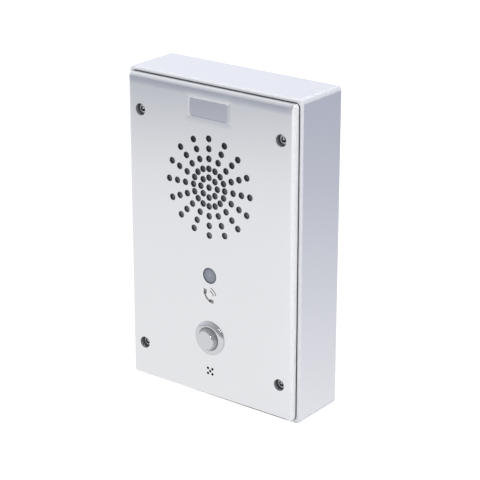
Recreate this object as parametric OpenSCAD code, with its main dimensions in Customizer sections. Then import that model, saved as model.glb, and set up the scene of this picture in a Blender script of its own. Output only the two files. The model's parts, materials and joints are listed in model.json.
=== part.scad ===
// Wall-mounted video door intercom: a folded steel box, closed by a folded steel plate that carries
// the speaker, the camera, a spring-loaded call button and the microphone.
// Each piece is drawn with the box lying on its back: x to the right, y up the face and z from the wall
// towards the visitor. The whole is then stood up, with the wall in the plane Y = 0 and the face at -Y.

/* [Back box] */
// Width of the box
box_w = 130; // [122:1:160]
// Depth of the box from the wall to its rim
box_d = 40; // [38:1:60]
// Thickness of the sheet metal that the box is folded from
box_sheet = 2; // [1.2:0.1:2.2]
// Outer radius of the box's four long corners
box_corner_r = 4.9; // [4:0.1:5.5]
// Outer radius of the fold between the walls and the back
box_fold_r = 3; // [2.4:0.1:3.8]
// Radius of the rim's outer edge
rim_round = 1.5; // [0.4:0.1:1.8]
// Width of the ledge inside the box that the gasket lies on
ledge_w = 5; // [4:0.2:6]
// Spacing of the wall screw holes across the back
wall_hole_dx = 90; // [76:1:96]
// Distance of the wall screw holes from the box's top and bottom
wall_hole_inset = 10.5; // [9:0.5:12]
// Diameter of the wall screw holes
wall_hole_d = 5.5; // [4:0.5:7]

/* [Cable entry] */
// Distance of the cable hole from the box's top
cable_inset = 30.5; // [26:0.5:34]
// Bore of the cable grommet
cable_d = 16; // [10:1:18]
// Thickness of the grommet's rubber between its bore and the back wall
grommet_wall = 4.5; // [3:0.5:6]
// How far the grommet's two lips reach past the hole
grommet_lip = 3; // [2:0.5:4]
// Depth of the shallow recess that keeps the grommet off the wall
recess_in = 1.5; // [1.2:0.1:2]
// Thickness of the grommet's lip inside the box
grommet_inner = 2.5; // [1.5:0.5:4]

/* [Front plate] */
// Thickness of the sheet metal that the plate is folded from
sheet = 1.5; // [1.2:0.1:1.8]
// How far the plate stands proud of the box's rim
proud = 4.5; // [1:0.5:5]
// Gap all round between the plate and the box
reveal = 0.5; // [0.4:0.1:1.2]
// Outer radius of the plate's folded edges
plate_fold_r = 2; // [1.9:0.1:2.3]
// Radius of the plate's corners
plate_corner_r = 2.4; // [2.3:0.1:4]
// Depth of the plate's folded edge, from its face
flange_d = 8; // [7:0.5:9]
// Thickness of the gasket under the folded edge
gasket_t = 1.5; // [1:0.1:2.5]

/* [Layout of the face] */
// From the plate's top edge to the middle of the name plate
name_inset = 13.5; // [10:0.5:20]
// From the name plate to the middle of the speaker
name_to_speaker = 48.5; // [46:0.5:60]
// From the speaker to the camera
speaker_to_camera = 57; // [53:0.5:70]
// From the camera to the call button
camera_to_button = 41.5; // [30:0.5:50]
// From the call button to the microphone
button_to_mic = 22.5; // [21:0.5:30]
// From the microphone to the plate's bottom edge
mic_inset = 17; // [12:0.5:25]

/* [Cover screws] */
// Distance of the cover screws from the plate's side edges
screw_inset_x = 9.5; // [9:0.1:12]
// Distance of the cover screws from the plate's top and bottom edges
screw_inset_y = 22.5; // [20:0.5:26]
// Diameter of the recesses that the screws sit in
recess_d = 7.4; // [7:0.1:8.4]
// Depth of the screw heads' rims below the plate's face
head_sunk = 2.2; // [1:0.1:4]
// Diameter of the screw heads
head_d = 6.4; // [5.6:0.1:7]
// Height of the screw heads
head_h = 2.2; // [1.6:0.1:2.6]
// Diameter of the screws
screw_d = 4; // [3:0.1:4.4]
// Length of the screws under their heads
screw_l = 12; // [8:1:16]
// Wall and floor thickness of the cups that form the recesses
cup_wall = 1.2; // [0.8:0.1:1.4]
// Diameter of the posts that the screws are driven into
post_d = 9; // [7:0.1:9.6]

/* [Name plate] */
// Width of the name plate
name_w = 30; // [20:1:50]
// Height of the name plate
name_h = 12; // [8:0.5:16]
// Thickness of the name plate
name_t = 0.8; // [0.5:0.1:1.5]
// Radius of the name plate's corners
name_r = 1.6; // [0.5:0.1:3]

/* [Speaker] */
// Diameter of the speaker's rim
speaker_d = 77; // [75:0.5:79]
// Width of the speaker's flat rim
speaker_rim = 5; // [4:0.5:5.5]
// Depth of the speaker's basket behind its rim
basket_d = 15; // [10:0.5:18]
// Diameter of the magnet
magnet_d = 40; // [30:1:44]
// Height of the magnet
magnet_h = 6; // [4:0.5:8]
// Diameter of the sound holes
sound_hole_d = 4; // [2.5:0.1:4.4]
// Radius of the first ring of sound holes
first_ring_r = 6.3; // [5.6:0.1:7]
// Radius of the second ring of sound holes, where the rays begin
ray_start_r = 11.9; // [11.2:0.1:12.5]
// Distance from hole to hole along a ray
ray_step = 6.25; // [5:0.05:6.4]
// Number of holes along a ray
ray_holes = 4; // [2:1:4]
// Number of rays
rays = 16; // [12:2:16]

/* [Camera] */
// Diameter of the camera window
window_d = 10; // [8:0.1:14]
// Width of the square camera holder
holder_w = 22; // [19:0.5:24]
// Depth of the camera holder
holder_d = 11.5; // [9:0.5:13]
// Diameter of the lens barrel
lens_d = 12; // [10:0.5:14]
// Width of the square camera board
camera_board_w = 26; // [24:0.5:30]

/* [Call button] */
// How far the cap can be pushed in
travel = 2.5; // [1:0.1:3]
// Diameter of the bezel
bezel_d = 22; // [21:0.1:26]
// Height of the bezel at its inner edge
bezel_h = 2.2; // [1.6:0.1:3]
// Diameter of the bezel's threaded barrel
barrel_d = 18.6; // [17.8:0.1:19]
// Length of the barrel behind the plate's face
barrel_l = 20; // [18:0.5:24]
// Diameter of the cap
cap_d = 14.6; // [13.6:0.1:15]
// Height of the cap above the bezel
cap_rise = 3; // [1.5:0.1:3.5]
// Width of the bevel round the cap's face
cap_bevel = 1.4; // [0.3:0.1:1.8]
// Gap all round between the cap and the bezel
cap_gap = 0.3; // [0.2:0.05:0.4]
// Running clearance of the cap's skirt in the barrel
slide_fit = 0.08; // [0.03:0.01:0.1]
// Wire diameter of the return spring
wire_d = 0.8; // [0.5:0.1:1]
// Middle diameter of the return spring
spring_d = 8.4; // [7.8:0.1:8.8]
// Turns of the return spring
spring_turns = 4.5; // [3:0.5:5]

/* [Microphone] */
// Diameter of the microphone capsule
mic_d = 9.7; // [8:0.1:10]
// Height of the microphone capsule
mic_h = 5; // [4:0.1:6]
// Diameter of the microphone holes
mic_hole_d = 1.5; // [1:0.1:1.8]
// Sideways and upward offset of the four outer microphone holes
mic_hole_step = 1.75; // [1.6:0.05:2]

/* [Main board] */
// Height of the main board
board_h = 100; // [96:1:110]
// Thickness of the main board
board_t = 1.6; // [1:0.1:2]
// Distance of the main board from the inside of the box's bottom wall
board_inset = 17; // [16:0.5:20]
// Height of the standoffs under the main board
standoff_h = 5; // [3:0.5:6]

/* [Hidden] */
$fn = 48;
// Overlap that makes cuts run clear of the faces they cut
cut = 1;
// Clearance of a screw in its thread, a pin in its hole and a nut on its stud
thread_fit = 0.05;
// Clearance of a piece that is dropped into its seat
seat_fit = 0.1;
// Clearance between soft or moulded pieces and their neighbours
soft_fit = 0.3;

// The plate's size follows the box, and the box's height follows the layout of the face
plate_w = box_w - 2 * (box_sheet + reveal);
plate_h = name_inset + name_to_speaker + speaker_to_camera + camera_to_button + button_to_mic + mic_inset;
box_h = plate_h + 2 * (box_sheet + reveal);
inner_w = box_w - 2 * box_sheet;
inner_h = box_h - 2 * box_sheet;
inner_corner_r = box_corner_r - box_sheet;

// Heights above the wall
face_z = box_d + proud;
plate_back = face_z - sheet;
flange_end = face_z - flange_d;
ledge_top = flange_end - gasket_t;
board_back = box_sheet + standoff_h;
board_face = board_back + board_t;

// Places on the face
name_y = plate_h / 2 - name_inset;
speaker_y = name_y - name_to_speaker;
camera_y = speaker_y - speaker_to_camera;
button_y = camera_y - camera_to_button;
mic_y = button_y - button_to_mic;
cable_y = box_h / 2 - cable_inset;
screw_x = plate_w / 2 - screw_inset_x;
screw_y = plate_h / 2 - screw_inset_y;
cover_screw_places = [for (sx = [-1, 1], sy = [-1, 1]) [sx * screw_x, sy * screw_y]];
wall_hole_y = box_h / 2 - wall_hole_inset;
wall_hole_places = [for (sx = [-1, 1], sy = [-1, 1]) [sx * wall_hole_dx / 2, sy * wall_hole_y]];

// Cover screws, measured down from the plate's face
head_seat = face_z - head_sunk - head_h;
post_top = head_seat - cup_wall;
socket_d = 3.4;
socket_depth = 1.3;
socket_pin_d = 1.1;
head_edge_h = 1.1;

// Cable entry
cable_hole_d = cable_d + 2 * grommet_wall;
lip_d = cable_hole_d + 2 * grommet_lip;
recess_edge = 2;
wall_gap = 0.3;

// Speaker, measured back from the plate
mesh_t = 0.4;
speaker_gasket_t = 1.5;
surround_t = 0.4;
rim_t = 1;
cone_t = 0.6;
rim_back = mesh_t + speaker_gasket_t + surround_t + rim_t;
basket_back = rim_back + basket_d;
cone_edge_r = speaker_d / 2 - speaker_rim;
roll_r = 2.4;
roll_mid_r = cone_edge_r - roll_r - soft_fit;
cone_rim_r = roll_mid_r - roll_r;
cone_top = mesh_t + speaker_gasket_t;
coil_r = 7.2;
coil_t = 0.6;
coil_air = 0.5;
neck_rise = 4;
cone_neck = cone_top + basket_d - neck_rise;
pole_r = coil_r - coil_air;
magnet_hole_r = 12;
pole_plate_t = 2;
yoke_t = 2.5;
pole_inset = 1;
coil_gap_r = coil_r + coil_t + coil_air;
basket_hole_r = 12;
basket_step = roll_r + 2 * rim_t;
basket_windows = 4;
basket_window_w = 16;
clamp_t = 1.2;
clamp_w = 3;
clamp_edge = 1;
ear_d = 9;
stud_d = 3;
stud_l = 9;
nut_h = 2.4;
nut_wall = 1.2;
nut_d = (stud_d + 2 * (thread_fit + nut_wall)) / cos(30);
stud_circle_r = speaker_d / 2 + ear_d / 2;
tab_w = 10;
tab_t = 1;
tab_l = 4;
dust_cap_lip = 2;
dust_cap_rise = 3;
tab_angle = 205;

// Camera, measured back from the plate
window_flange_t = 1.5;
window_flange_w = 2.4;
window_sunk = 0.2;
holder_back = window_flange_t + holder_d;
ear_side = 6;
ear_reach = holder_w / 2 + ear_side;
ear_t = 3;
camera_board_t = 1.2;
sensor_w = 8;
sensor_t = 1;
sensor_room = 1;
lens_l = 8.5;
lens_rim = 1.2;
lens_front = window_flange_t + soft_fit;

// Studs on the back of the plate: four for the speaker and two for the camera
stud_places = concat(
    [for (i = [0:3]) [stud_circle_r * cos(45 + 90 * i), speaker_y + stud_circle_r * sin(45 + 90 * i)]],
    [for (sx = [-1, 1]) [sx * ear_reach, camera_y]]);
stud_seats = [for (i = [0:5]) i < 4 ? rim_back + clamp_t : window_flange_t + ear_t];

// Call button, measured up from the plate's face
bezel_edge_h = 0.7;
bezel_bore_r = cap_d / 2 + cap_gap;
shoulder = -2;
barrel_wall = 1;
skirt_r = barrel_d / 2 - barrel_wall - slide_fit;
skirt_h = 5;
cap_top_t = 3;
cap_bevel_share = 0.8;
cap_face = bezel_h + cap_rise;
pocket_top = cap_face - cap_top_t;
spring_room = 0.9;
pocket_r = spring_d / 2 + wire_d / 2 + spring_room;
skirt_end = shoulder - skirt_h;
over_travel = 0.5;
guide_top = skirt_end - travel - over_travel;
guide_t = 2.6;
guide_end = guide_top - guide_t;
plunger_d = 4.8;
bridge_d = 9.4;
bridge_t = 0.6;
bridge_top = guide_end - soft_fit;
pad_t = 0.4;
pad_w = 2.6;
pad_top = bridge_top - bridge_t - travel - seat_fit;
chamber_d = 11.4;
base_end = -barrel_l;
terminal_x = 3.2;
terminal_w = 2.8;
terminal_t = 0.5;
terminal_l = 5;
seal_t = 0.8;
seal_w = 0.8;
groove_r = barrel_d / 2 + seat_fit + soft_fit;
washer_t = 1;
washer_w = 2.6;
washer_d = barrel_d + 2 * (seat_fit + washer_w);
button_nut_t = 3.5;
button_nut_wall = 1.65;
button_nut_d = (barrel_d + 2 * (thread_fit + button_nut_wall)) / cos(30);
plug_w = 11;
plug_h = 7;
plug_t = 6;
terminal_end = base_end - terminal_l;

// Return spring, wound from the switch guide up into the cap's pocket
spring_sides = 6;
spring_rings_per_turn = 8;
spring_gap = 0.05;
spring_foot = guide_top + wire_d / 2 + spring_gap;
spring_rise = pocket_top - guide_top - wire_d - 2 * spring_gap;
spring_pitch = spring_rise / spring_turns;
echo(least_gap_between_spring_turns = spring_pitch - wire_d);

// Microphone, measured back from the plate
boot_wall = 2;
boot_front = 1.2;
boot_back = 1.8;
mic_hole_span_r = sqrt(2) * mic_hole_step + mic_hole_d / 2;

// Main board and what stands on it
board_gap = 3.5;
board_w = 2 * (screw_x - post_d / 2 - board_gap);
board_y = -inner_h / 2 + board_inset + board_h / 2;
board_hole_inset = 5;
board_r = 2;
board_screw_d = 3;
board_screw_head_d = 5.5;
board_screw_head_h = 2;
standoff_d = 6;
standoff_floor = 1.5;
cross_l = 3.2;
cross_w = 0.8;
board_corner_places = [for (sx = [-1, 1], sy = [-1, 1])
    [sx * (board_w / 2 - board_hole_inset), board_y + sy * (board_h / 2 - board_hole_inset)]];

// The network jack and the terminal block stand in a row along the board's top edge, clear of the magnet
magnet_gap = 2;
row_top = min(board_y + board_h / 2, speaker_y - magnet_d / 2 - magnet_gap);
jack_size = [16, 21.3, 13.5];
jack_mouth = [11.7, 14, 7.5];
jack_out = 1;
jack_inset = 20;
jack_at = [-board_w / 2 + jack_inset, row_top - jack_size[1] / 2 + jack_out];
block_ways = 6;
block_pitch = 5;
block_size = [block_ways * block_pitch, 9, 10];
block_in = 1;
block_gap = 2.25;
block_end = board_w / 2 - board_hole_inset - board_screw_head_d / 2 - block_gap;
way_w = 3.6;
way_h = 3.4;
block_at = [block_end - block_size[0] / 2, row_top - block_size[1] / 2 - block_in];
relay_size = [19, 15.5, 15];
relay_inset = 2;
relay_rise = 20;
relay_at = [board_w / 2 - relay_size[0] / 2 - relay_inset, board_y + relay_rise];
capacitor_d = 8;
capacitor_h = 10;
capacitor_inset = 10;
capacitor_pitch = 11;
capacitor_at = [for (i = [0:2]) [board_w / 2 - capacitor_inset, board_y - i * capacitor_pitch]];
chip_t = 1.2;
processor_size = [15, 15];
processor_at = [-12, -2];
memory_size = [11, 8];
memory_at = [-12, -22];
codec_size = [8, 8];
codec_at = [-27, 14];
chips = [[processor_at, processor_size], [memory_at, memory_size], [codec_at, codec_size]];
header_size = [7.5, 5.6, 5];
header_wall = 0.8;
header_floor = 1;
lead_plug_h = 6;
header_inset = 7;
header_rise = 6;
speaker_header_y = 20;
camera_header_y = 4;
button_header_x = -20;
mic_header_x = 12;
header_x = -board_w / 2 + header_inset;
header_low_y = board_y - board_h / 2 + header_rise;
header_places = [[header_x, board_y + speaker_header_y], [header_x, board_y + camera_header_y],
    [button_header_x, header_low_y], [mic_header_x, header_low_y]];

// Leads: each rises out of its plug on the main board and runs by a few points to the device's terminal
lead_d = 2;
lead_sides = 8;
lead_steps = 4;
lead_rise = 4;
plug_top = board_face + header_floor + lead_plug_h;
speaker_tab_end = cone_edge_r;
speaker_tab_r = speaker_tab_end - tab_l / 2;
speaker_tab = [speaker_tab_r * cos(tab_angle), speaker_y + speaker_tab_r * sin(tab_angle)];
camera_lead_x = -6;
lead_starts = [for (place = header_places) [place[0], place[1], plug_top]];
lead_ends = [
    [speaker_tab[0], speaker_tab[1], plate_back - basket_back + rim_t],
    [camera_lead_x, camera_y, plate_back - holder_back - camera_board_t],
    [0, button_y - plug_t / 2, face_z + base_end - plug_h / 2],
    [0, mic_y, plate_back - boot_front - mic_h]];
speaker_bends = [[-1, -29, -4], [-0.5, -15, -5], [5, -3.7, -5.2]];
button_bends = [[5, 4, 3], [-5, -6.5, 0]];
camera_lifts = [5, 1.6, -2.5];
mic_lifts = [2.5, -2];
function part_way(i, t, lift) = lead_starts[i] + (lead_ends[i] - lead_starts[i]) * t + [0, 0, lift];
function rise_from(i, drift, rise) = lead_starts[i] + [0, drift, rise];
speaker_route = concat([lead_starts[0], rise_from(0, 0.5, lead_rise)],
    [for (bend = speaker_bends) [header_x, lead_ends[0][1], lead_ends[0][2]] + bend],
    [lead_ends[0]]);
camera_route = [lead_starts[1], rise_from(1, 0.5, lead_rise), part_way(1, 0.2, camera_lifts[0]),
    part_way(1, 0.55, camera_lifts[1]), part_way(1, 0.9, camera_lifts[2]), lead_ends[1]];
button_route = [lead_starts[2], rise_from(2, 0.5, button_bends[0][2]),
    [lead_starts[2][0] + button_bends[0][0], lead_starts[2][1] + button_bends[0][1], lead_ends[2][2]],
    lead_ends[2] + button_bends[1], lead_ends[2]];
mic_route = [lead_starts[3], rise_from(3, -0.2, lead_rise - 1), part_way(3, 0.3, mic_lifts[0]),
    part_way(3, 0.8, mic_lifts[1]), lead_ends[3]];

// Colours of the materials
steel = [0.78, 0.79, 0.81];
bright_steel = [0.86, 0.87, 0.88];
zinc = [0.7, 0.71, 0.72];
dark_steel = [0.2, 0.2, 0.21];
brass = [0.8, 0.65, 0.3];
rubber = [0.08, 0.08, 0.09];
black_plastic = [0.12, 0.12, 0.13];
white_plastic = [0.9, 0.89, 0.85];
board_green = [0.05, 0.3, 0.15];
smoked_glass = [0.35, 0.38, 0.45];

// Stands the part up from lying on its back
module upright() {
    rotate([90, 0, 0]) children();
}

module at(place, z = 0) {
    translate([place[0], place[1], z]) children();
}

module round_rect(w, h, r) {
    square([w - 2 * r, h], center = true);
    square([w, h - 2 * r], center = true);
    for (sx = [-1, 1], sy = [-1, 1]) {
        translate([sx * (w / 2 - r), sy * (h / 2 - r)]) circle(r);
    }
}

module rounded_sheet(w, h, r, t) {
    linear_extrude(t) round_rect(w, h, r);
}

module ring(outer_r, inner_r, h) {
    difference() {
        cylinder(h, r = outer_r);
        translate([0, 0, -cut]) cylinder(h + 2 * cut, r = inner_r);
    }
}

// A block of the given size, standing centred on z = 0
module block(size) {
    translate([-size[0] / 2, -size[1] / 2, 0]) cube(size);
}

// Section through the folded edge of a sheet of thickness t: flat at the bottom, a fold, and a wall as deep
// as given.
// x runs outwards from the middle of the corner's curve.
module folded_section(t, corner_r, depth, fold_r, edge_r) {
    inner_r = fold_r - t;
    difference() {
        intersection() {
            union() {
                square([corner_r - fold_r, depth]);
                translate([0, fold_r]) square([corner_r, depth - fold_r - edge_r]);
                translate([0, fold_r]) square([corner_r - edge_r, depth - fold_r]);
                translate([corner_r - fold_r, fold_r]) circle(fold_r);
                translate([corner_r - edge_r, depth - edge_r]) circle(edge_r);
            }
            square([corner_r, depth]);
        }
        translate([-cut, t]) square([corner_r - t - inner_r + cut, depth]);
        translate([-cut, t + inner_r]) square([corner_r - t + cut, depth]);
        translate([corner_r - t - inner_r, t + inner_r]) circle(inner_r);
    }
}

// Carries a section round the four sides and corners of a w by h rectangle
module swept_round(w, h, corner_r) {
    for (side = [0:3]) {
        out = (side % 2 == 0 ? w : h) / 2 - corner_r;
        along = (side % 2 == 0 ? h : w) / 2 - corner_r;
        rotate([0, 0, 90 * side]) {
            translate([out, 0, 0]) rotate([90, 0, 0]) linear_extrude(2 * along, center = true) children();
            translate([out, along, 0]) rotate_extrude(angle = 90) children();
        }
    }
}

module back_box() {
    rim_r = min(rim_round, box_sheet - seat_fit);
    ledge_corner = inner_corner_r + box_sheet / 2;
    color(steel) upright() difference() {
        union() {
            swept_round(box_w, box_h, box_corner_r)
                folded_section(box_sheet, box_corner_r, box_d, box_fold_r, rim_r);
            block([box_w - 2 * box_corner_r, box_h - 2 * box_corner_r, box_sheet]);
            translate([0, 0, ledge_top - box_sheet]) linear_extrude(box_sheet) difference() {
                round_rect(inner_w + box_sheet, inner_h + box_sheet, ledge_corner);
                round_rect(inner_w - 2 * ledge_w, inner_h - 2 * ledge_w, ledge_corner);
            }
            at([0, cable_y]) cylinder(recess_in + box_sheet, d = lip_d + 2 * (recess_edge + box_sheet));
        }
        at([0, cable_y], -cut) cylinder(recess_in + cut, d = lip_d + 2 * recess_edge);
        at([0, cable_y], -cut) cylinder(recess_in + box_sheet + 2 * cut, d = cable_hole_d);
        for (place = wall_hole_places) at(place, -cut) cylinder(box_sheet + 2 * cut, d = wall_hole_d);
    }
}

module face_gasket() {
    color(rubber) upright() translate([0, 0, ledge_top]) linear_extrude(gasket_t) difference() {
        round_rect(inner_w - 2 * soft_fit, inner_h - 2 * soft_fit, inner_corner_r);
        round_rect(inner_w - 2 * ledge_w, inner_h - 2 * ledge_w, inner_corner_r);
    }
}

module cover_posts() {
    depth = screw_l - cup_wall + cut;
    color(zinc) upright() for (place = cover_screw_places) at(place, box_sheet) difference() {
        cylinder(post_top - box_sheet, d = post_d);
        translate([0, 0, post_top - box_sheet - depth]) cylinder(depth + cut, d = screw_d + 2 * thread_fit);
    }
}

module cable_grommet() {
    outer_t = recess_in - wall_gap;
    total = outer_t + box_sheet + grommet_inner;
    color(rubber) upright() at([0, cable_y], wall_gap) difference() {
        union() {
            cylinder(outer_t, d = lip_d);
            cylinder(total, d = cable_hole_d - 2 * seat_fit);
            translate([0, 0, outer_t + box_sheet]) cylinder(grommet_inner, d = lip_d - 1);
        }
        translate([0, 0, -cut]) cylinder(total + 2 * cut, d = cable_d);
    }
}

// Front plate

// Sound holes: one in the middle, a ring at every second ray, then the rays
module speaker_holes() {
    circle(d = sound_hole_d);
    for (i = [0:rays - 1]) rotate(90 + i * 360 / rays) {
        if (i % 2 == 0) translate([first_ring_r, 0]) circle(d = sound_hole_d);
        for (k = [0:ray_holes - 1]) translate([ray_start_r + k * ray_step, 0]) circle(d = sound_hole_d);
    }
}

module mic_holes() {
    circle(d = mic_hole_d);
    for (sx = [-1, 1], sy = [-1, 1]) translate([sx, sy] * mic_hole_step) circle(d = mic_hole_d);
}

module front_plate() {
    flat_w = plate_w - 2 * plate_corner_r;
    flat_h = plate_h - 2 * plate_corner_r;
    color(steel) upright() {
        translate([0, 0, face_z]) mirror([0, 0, 1]) swept_round(plate_w, plate_h, plate_corner_r)
            folded_section(sheet, plate_corner_r, flange_d, plate_fold_r, seat_fit);
        translate([0, 0, plate_back]) linear_extrude(sheet) difference() {
            square([flat_w, flat_h], center = true);
            translate([0, speaker_y]) speaker_holes();
            translate([0, camera_y]) circle(d = window_d);
            translate([0, button_y]) circle(d = barrel_d + 2 * seat_fit);
            translate([0, mic_y]) mic_holes();
            for (place = cover_screw_places) translate(place) circle(d = recess_d);
        }
    }
}

module screw_cups() {
    color(dark_steel) upright() for (place = cover_screw_places) at(place) difference() {
        translate([0, 0, post_top]) cylinder(plate_back - post_top, d = recess_d + 2 * cup_wall);
        translate([0, 0, head_seat]) cylinder(plate_back - head_seat + cut, d = recess_d);
        translate([0, 0, post_top - cut]) cylinder(cup_wall + 2 * cut, d = screw_d + 2 * soft_fit);
    }
}

// Domed screws with a six-sided socket that has a pin in its middle
module cover_screws() {
    crown = head_h - head_edge_h;
    dome_r = (pow(head_d / 2, 2) + pow(crown, 2)) / (2 * crown);
    color(bright_steel) upright() for (place = cover_screw_places) at(place, head_seat) {
        difference() {
            rotate_extrude() intersection() {
                square([head_d / 2, head_h]);
                translate([0, head_h - dome_r]) circle(dome_r);
            }
            translate([0, 0, head_h - socket_depth]) cylinder(head_h, d = socket_d, $fn = 6);
        }
        translate([0, 0, -screw_l]) cylinder(screw_l + head_h - socket_depth, d = screw_d);
        cylinder(head_h - socket_depth / 4, d = socket_pin_d);
    }
}

module name_plate() {
    color(bright_steel) upright() at([0, name_y], face_z) rounded_sheet(name_w, name_h, name_r, name_t);
}

// Speaker, drawn about its own axis with z = 0 at the back of the plate

module at_speaker() {
    upright() at([0, speaker_y], plate_back) children();
}

module speaker_mesh() {
    color(black_plastic) at_speaker() translate([0, 0, -mesh_t]) cylinder(mesh_t, d = speaker_d);
}

module speaker_gasket() {
    color(rubber) at_speaker() translate([0, 0, -cone_top]) {
        ring(speaker_d / 2, cone_edge_r + soft_fit, speaker_gasket_t);
    }
}

// Rubber roll between the cone and the rim
module speaker_surround() {
    color(rubber) at_speaker() rotate_extrude() translate([0, -cone_top - surround_t]) {
        lip_r = roll_mid_r + roll_r - surround_t;
        translate([lip_r, 0]) square([speaker_d / 2 - lip_r, surround_t]);
        translate([cone_rim_r - speaker_rim / 2, 0]) square([speaker_rim / 2 + surround_t, surround_t]);
        difference() {
            translate([roll_mid_r, surround_t]) circle(roll_r);
            translate([roll_mid_r, surround_t]) circle(roll_r - surround_t);
            translate([cone_rim_r - cut, surround_t]) square([2 * (roll_r + cut), 2 * roll_r]);
        }
    }
}

module speaker_cone() {
    edge_r = cone_rim_r - soft_fit;
    neck_r = coil_r + coil_t;
    lip = -cone_top - surround_t;
    color([0.16, 0.16, 0.17]) at_speaker() rotate_extrude() polygon([
        [edge_r, lip], [edge_r, lip - cone_t], [edge_r - speaker_rim / 2, lip - cone_t],
        [neck_r, -cone_neck - cone_t], [neck_r, -cone_neck], [edge_r - speaker_rim / 2, lip]]);
}

module speaker_dust_cap() {
    cap_r = coil_r + coil_t + dust_cap_lip;
    rise = dust_cap_rise;
    dome_r = (cap_r * cap_r + rise * rise) / (2 * rise);
    run = cone_rim_r - soft_fit - speaker_rim / 2 - coil_r - coil_t;
    slope = (cone_neck - cone_top - surround_t) / run;
    seat = -cone_neck + slope * dust_cap_lip + seat_fit;
    color([0.2, 0.2, 0.21]) at_speaker() translate([0, 0, seat]) rotate_extrude() intersection() {
        square([cap_r, rise]);
        difference() {
            translate([0, rise - dome_r]) circle(dome_r);
            translate([0, rise - dome_r]) circle(dome_r - cone_t);
        }
    }
}

module voice_coil() {
    coil_l = basket_back + pole_plate_t - cone_neck;
    color(brass) at_speaker() translate([0, 0, -cone_neck - coil_l]) ring(coil_r + coil_t, coil_r, coil_l);
}

// Pressed steel basket with four windows in its cone and a tab for the lead
module speaker_basket() {
    top_r = cone_edge_r;
    foot_r = magnet_d / 2;
    color(zinc) at_speaker() {
        difference() {
            rotate_extrude() polygon([
                [speaker_d / 2, rim_t - rim_back], [speaker_d / 2, -rim_back], [top_r + rim_t, -rim_back],
                [top_r + rim_t, -rim_back - basket_step], [foot_r, -basket_back],
                [basket_hole_r, -basket_back], [basket_hole_r, rim_t - basket_back],
                [foot_r - rim_t, rim_t - basket_back],
                [top_r, rim_t - rim_back - basket_step], [top_r, rim_t - rim_back]]);
            for (i = [0:basket_windows - 1]) rotate(i * 360 / basket_windows) {
                translate([foot_r + rim_t, -basket_window_w / 2, rim_t - basket_back + cut])
                    cube([top_r - foot_r - 2 * rim_t, basket_window_w, basket_d - basket_step - 2 * cut]);
            }
        }
        rotate(tab_angle) translate([foot_r - rim_t, -tab_w / 2, rim_t - basket_back])
            cube([speaker_tab_end - foot_r + rim_t, tab_w, tab_t]);
    }
}

module speaker_pole_plate() {
    color(zinc) at_speaker() translate([0, 0, -basket_back - pole_plate_t])
        ring(magnet_d / 2 - pole_inset, coil_gap_r, pole_plate_t);
}

module speaker_magnet() {
    color([0.22, 0.22, 0.24]) at_speaker() translate([0, 0, -basket_back - pole_plate_t - magnet_h])
        ring(magnet_d / 2, magnet_hole_r, magnet_h);
}

module speaker_yoke() {
    back = -basket_back - pole_plate_t - magnet_h - yoke_t;
    color(zinc) at_speaker() translate([0, 0, back]) {
        cylinder(yoke_t, r = magnet_d / 2 - pole_inset);
        cylinder(yoke_t + magnet_h + pole_plate_t, r = pole_r);
    }
}

module speaker_clamp() {
    inner_r = speaker_d / 2 - clamp_w;
    ear_root_r = inner_r + clamp_edge;
    color(zinc) at_speaker() translate([0, 0, -rim_back - clamp_t]) linear_extrude(clamp_t) difference() {
        union() {
            circle(speaker_d / 2 + clamp_edge);
            for (i = [0:3]) rotate(45 + 90 * i) {
                translate([stud_circle_r, 0]) circle(d = ear_d);
                translate([ear_root_r, -ear_d / 2]) square([stud_circle_r - ear_root_r, ear_d]);
            }
        }
        circle(inner_r);
        for (i = [0:3]) rotate(45 + 90 * i) {
            translate([stud_circle_r, 0]) circle(d = stud_d + 2 * soft_fit);
        }
    }
}

module mounting_studs() {
    color(zinc) upright() for (place = stud_places) at(place, plate_back - stud_l)
        cylinder(stud_l, d = stud_d);
}

module stud_nuts() {
    color(zinc) upright() for (i = [0:5]) at(stud_places[i], plate_back - stud_seats[i] - nut_h) {
        difference() {
            cylinder(nut_h, d = nut_d, $fn = 6);
            translate([0, 0, -cut]) cylinder(nut_h + 2 * cut, d = stud_d + 2 * thread_fit);
        }
    }
}

// Camera, drawn about its own axis with z = 0 at the back of the plate

module at_camera() {
    upright() at([0, camera_y], plate_back) children();
}

// Stepped window: its front fills the hole, and its flange is clamped behind the plate
module camera_window() {
    color(smoked_glass) at_camera() {
        cylinder(sheet - window_sunk, d = window_d - 2 * seat_fit);
        translate([0, 0, -window_flange_t]) cylinder(window_flange_t, d = window_d + 2 * window_flange_w);
    }
}

module camera_lens() {
    color(black_plastic) at_camera() translate([0, 0, -lens_front - lens_l]) {
        ring(lens_d / 2, lens_d / 2 - lens_rim, lens_l);
        cylinder(lens_l - lens_rim / 2, d = lens_d - lens_rim);
    }
}

module camera_holder() {
    shaft_w = sensor_w + 2 * sensor_room;
    color(black_plastic) at_camera() difference() {
        union() {
            translate([0, 0, -holder_back]) block([holder_w, holder_w, holder_d]);
            for (sx = [-1, 1]) translate([0, 0, -window_flange_t - ear_t]) {
                translate([sx * ear_reach, 0, 0]) cylinder(ear_t, d = ear_d);
                translate([sx * ear_reach / 2, 0, 0]) block([ear_reach, ear_d, ear_t]);
            }
        }
        translate([0, 0, -holder_back + 2 * sensor_t]) cylinder(holder_d, d = lens_d + 2 * seat_fit);
        translate([0, 0, -holder_back - cut]) block([shaft_w, shaft_w, holder_d]);
        for (sx = [-1, 1]) translate([sx * ear_reach, 0, -window_flange_t - ear_t - cut])
            cylinder(ear_t + 2 * cut, d = stud_d + 2 * soft_fit);
    }
}

module camera_sensor() {
    color(black_plastic) at_camera() translate([0, 0, -holder_back]) block([sensor_w, sensor_w, sensor_t]);
}

module camera_board() {
    color(board_green) at_camera() translate([0, 0, -holder_back - camera_board_t])
        block([camera_board_w, camera_board_w, camera_board_t]);
}

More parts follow.
